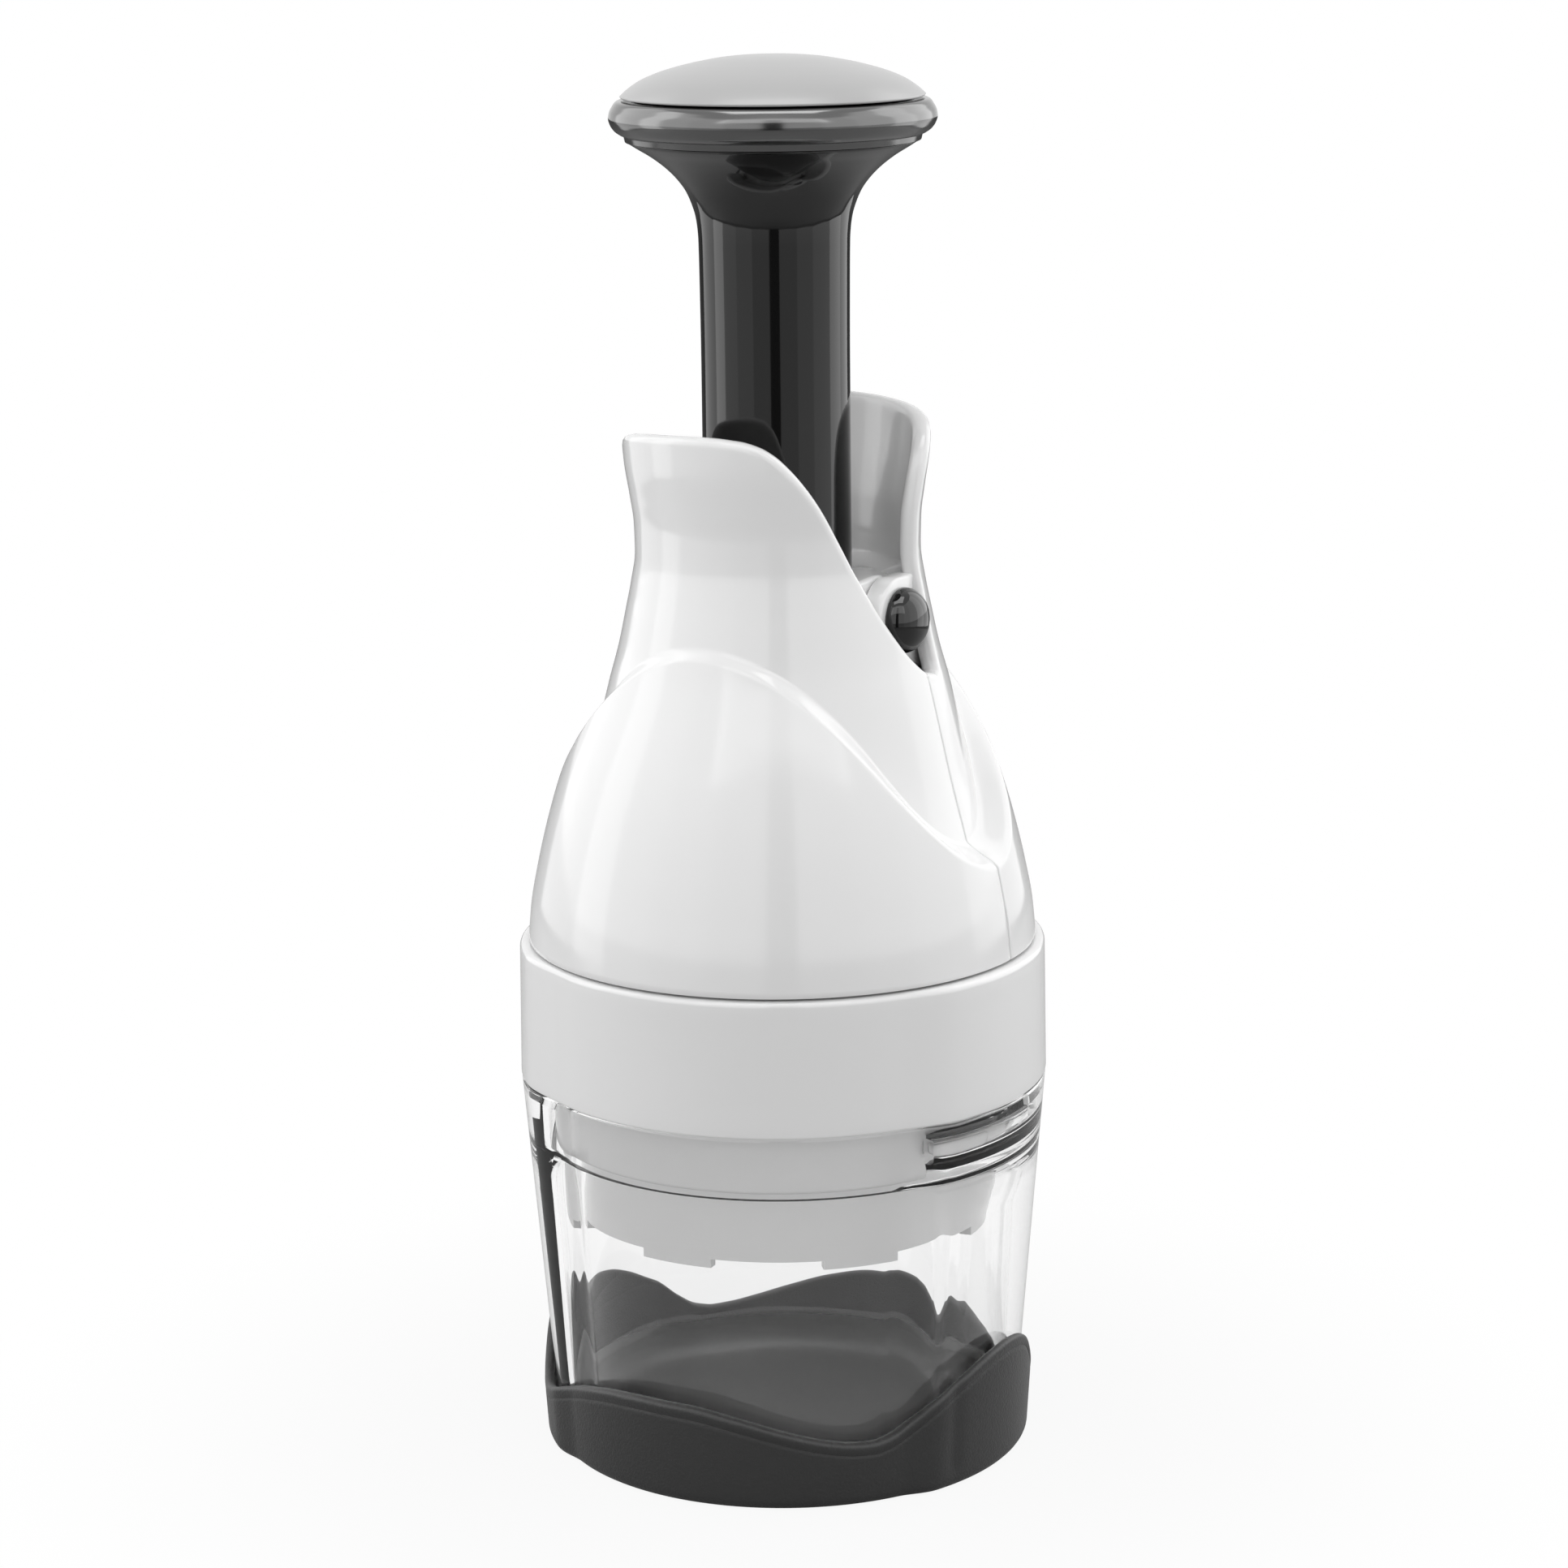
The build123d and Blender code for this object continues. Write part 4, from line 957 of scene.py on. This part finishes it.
def flat_sheet(name, middle, sideways, up, material):
    """Flat sheet that reaches sideways and up to both sides of its middle."""
    corners = [[m + x * a + y * b for m, a, b in zip(middle, sideways, up)]
               for x, y in ((-1, -1), (1, -1), (1, 1), (-1, 1))]
    mesh = bpy.data.meshes.new(name)
    mesh.from_pydata(corners, [], [(0, 1, 2, 3)])
    mesh.materials.append(material)
    sheet = bpy.data.objects.new(name, mesh)
    bpy.context.scene.collection.objects.link(sheet)
    return sheet


def soft_box(name, place_at, aim, wide, tall, power):
    """Rectangular area lamp at a point, turned to face another."""
    lamp = bpy.data.lights.new(name, "AREA")
    lamp.shape = "RECTANGLE"
    lamp.size, lamp.size_y = wide, tall
    lamp.energy = power
    box = bpy.data.objects.new(name, lamp)
    box.visible_camera = False
    box.visible_transmission = False
    bpy.context.scene.collection.objects.link(box)
    at, to = np.array(place_at, float), np.array(aim, float)
    back = (at - to) / np.linalg.norm(at - to)
    right = np.cross((0, 0, 1), back)
    right /= np.linalg.norm(right)
    up = np.cross(back, right)
    axes = np.eye(4)
    axes[:3, 0], axes[:3, 1], axes[:3, 2], axes[:3, 3] = right, up, back, at
    box.matrix_world = Matrix(axes.tolist())


def seen_from(azimuth, distance, height):
    """Point at an azimuth of the object, where 0 is in front of the front shell."""
    turn = math.radians(azimuth)
    return (distance * math.sin(turn), -distance * math.cos(turn), height)


CAMERA_AZIMUTH = 28.5
WALL_DISTANCE = 0.52  # from the axis to the walls of light
# Walls of light: name, two ends in degrees from the camera, foot, top and radiance
WALLS = (
    ("left near", -8, -34, 0.02, 0.42, 0.50), ("left front", -34, -60, 0.02, 0.80, 0.75),
    ("left side", -60, -84, 0.02, 0.80, 0.95), ("left edge", -84, -104, 0.02, 0.80, 2.3),
    ("left back", -104, -140, 0.02, 0.80, 1.1),
    ("right near", 7, 34, 0.02, 0.42, 0.50), ("right front", 34, 60, 0.02, 0.80, 0.72),
    ("right side", 60, 92, 0.02, 0.80, 0.95), ("right edge", 92, 118, 0.02, 0.80, 1.9),
    ("right back", 118, 145, 0.02, 0.80, 1.3), ("front high", -40, 40, 0.46, 0.96, 1.7))


class CHOPPER_OT_stage(bpy.types.Operator):
    """Adds the pale floor, the soft boxes, the world and the camera"""

    bl_idname = "chopper.stage"
    bl_label = "Studio"

    def execute(self, context):
        """A pale floor, walls of light round the object, a panel overhead and a plain surround."""
        scene = context.scene
        scene.view_settings.view_transform = "Standard"
        floor = flat_sheet("floor", (0, 0, 0), (3.0, 0, 0), (0, 3.0, 0), stage_material("pale floor", 0.08))
        self.lamps()
        self.world(scene)
        self.camera(scene)
        return {"FINISHED"}

    def lamps(self):
        """Walls of light round the object, dim beside the camera and brighter to the sides, and a
        panel overhead.  The power follows from the radiance and the area."""
        for name, start, end, low, high, radiance in WALLS:
            wide = 2 * WALL_DISTANCE * math.tan(math.radians(abs(end - start) / 2))
            tall, middle = high - low, 0.5 * (high + low)
            at = seen_from(CAMERA_AZIMUTH + (start + end) / 2, WALL_DISTANCE, middle)
            soft_box(name, at, (0, 0, middle), wide, tall, radiance * math.pi * wide * tall)
        soft_box("overhead", seen_from(CAMERA_AZIMUTH, 0.12, 1.0), (0, 0, 0.2), 0.62, 0.42,
                 3.6 * math.pi * 0.26)
        self.dark_card()

    def dark_card(self):
        """Black card on the camera's side: only gloss shows it, as a dark stripe between the boxes."""
        turn = math.radians(CAMERA_AZIMUTH)
        half, tall = 0.066, 0.42
        material, _, _, shader = new_material("black card")
        put(shader, Base_Color=(0.01, 0.01, 0.01, 1), Roughness=1.0)
        card = flat_sheet("dark card", seen_from(CAMERA_AZIMUTH, 0.56, 0.4),
                          (half * math.cos(turn), half * math.sin(turn), 0), (0, 0, tall), material)
        for ray in ("camera", "diffuse", "transmission", "shadow", "volume_scatter"):
            setattr(card, f"visible_{ray}", False)

    def world(self, scene):
        """White to the camera and through glass; a plain grey level for lighting."""
        world = bpy.data.worlds.new("studio")
        scene.world = world
        world.use_nodes = True
        nodes, links = world.node_tree.nodes, world.node_tree.links
        seen = nodes["Background"]
        put(seen, Color=(1, 1, 1, 1), Strength=1.0)
        lit = nodes.new("ShaderNodeBackground")
        put(lit, Color=(1, 1, 1, 1), Strength=0.12)
        both = seen_through(nodes, links, ("Is Glossy Ray", "Is Transmission Ray"))
        mixed(nodes, links, both, lit, seen, "World Output")

    def camera(self, scene):
        """Long lens, a little above the object, pitched down and rolled by a fraction."""
        camera = bpy.data.cameras.new("camera")
        camera.lens = 97.66
        camera.sensor_width = 36.0
        camera.shift_x = 0.0022
        camera.clip_start = 0.05
        turn = math.radians(CAMERA_AZIMUTH)
        pitch, roll = math.radians(13.0), math.radians(0.66)
        ahead_flat = np.array([-math.sin(turn), math.cos(turn), 0.0])
        flat_right = np.array([math.cos(turn), math.sin(turn), 0.0])
        ahead = ahead_flat * math.cos(pitch) - np.array([0, 0, math.sin(pitch)])
        level_up = np.cross(flat_right, ahead)
        right = flat_right * math.cos(roll) - level_up * math.sin(roll)
        up = level_up * math.cos(roll) + flat_right * math.sin(roll)
        axes = np.eye(4)
        axes[:3, 0], axes[:3, 1], axes[:3, 2] = right, up, -ahead
        axes[:3, 3] = seen_from(CAMERA_AZIMUTH, 0.733, 0.289)
        holder = bpy.data.objects.new("camera", camera)
        holder.matrix_world = Matrix(axes.tolist())
        scene.collection.objects.link(holder)
        scene.camera = holder


# ------------------------------------------------------------------ panel and registration


PIECES = (CHOPPER_OT_base, CHOPPER_OT_jar, CHOPPER_OT_collar, CHOPPER_OT_stripper,
          CHOPPER_OT_shells, CHOPPER_OT_neck, CHOPPER_OT_stem, CHOPPER_OT_knob,
          CHOPPER_OT_inside, CHOPPER_OT_stage)


class CHOPPER_PT_panel(bpy.types.Panel):
    """Lists the chopper's sizes, colours and pieces"""

    bl_idname = "CHOPPER_PT_panel"
    bl_label = "Chopper"
    bl_space_type = "VIEW_3D"
    bl_region_type = "UI"
    bl_category = "Chopper"

    def draw(self, context):
        """One row for each setting and one button for each piece."""
        for group in (context.scene.chopper_sizes, context.scene.chopper_colours):
            for setting in group.__annotations__:
                self.layout.prop(group, setting)
        for operator in PIECES:
            self.layout.operator(operator.bl_idname)


CLASSES = (ChopperSizes, ChopperColours, *PIECES, CHOPPER_PT_panel)


def register():
    """Registers the classes and hangs the settings on the scene."""
    for each in CLASSES:
        bpy.utils.register_class(each)
    bpy.types.Scene.chopper_sizes = bpy.props.PointerProperty(type=ChopperSizes)
    bpy.types.Scene.chopper_colours = bpy.props.PointerProperty(type=ChopperColours)


def unregister():
    """Undoes register."""
    del bpy.types.Scene.chopper_colours
    del bpy.types.Scene.chopper_sizes
    for each in reversed(CLASSES):
        bpy.utils.unregister_class(each)


def main():
    register()
    for operator in PIECES:
        getattr(bpy.ops.chopper, operator.__name__.split("_")[-1])()


if __name__ == "__main__":
    main()
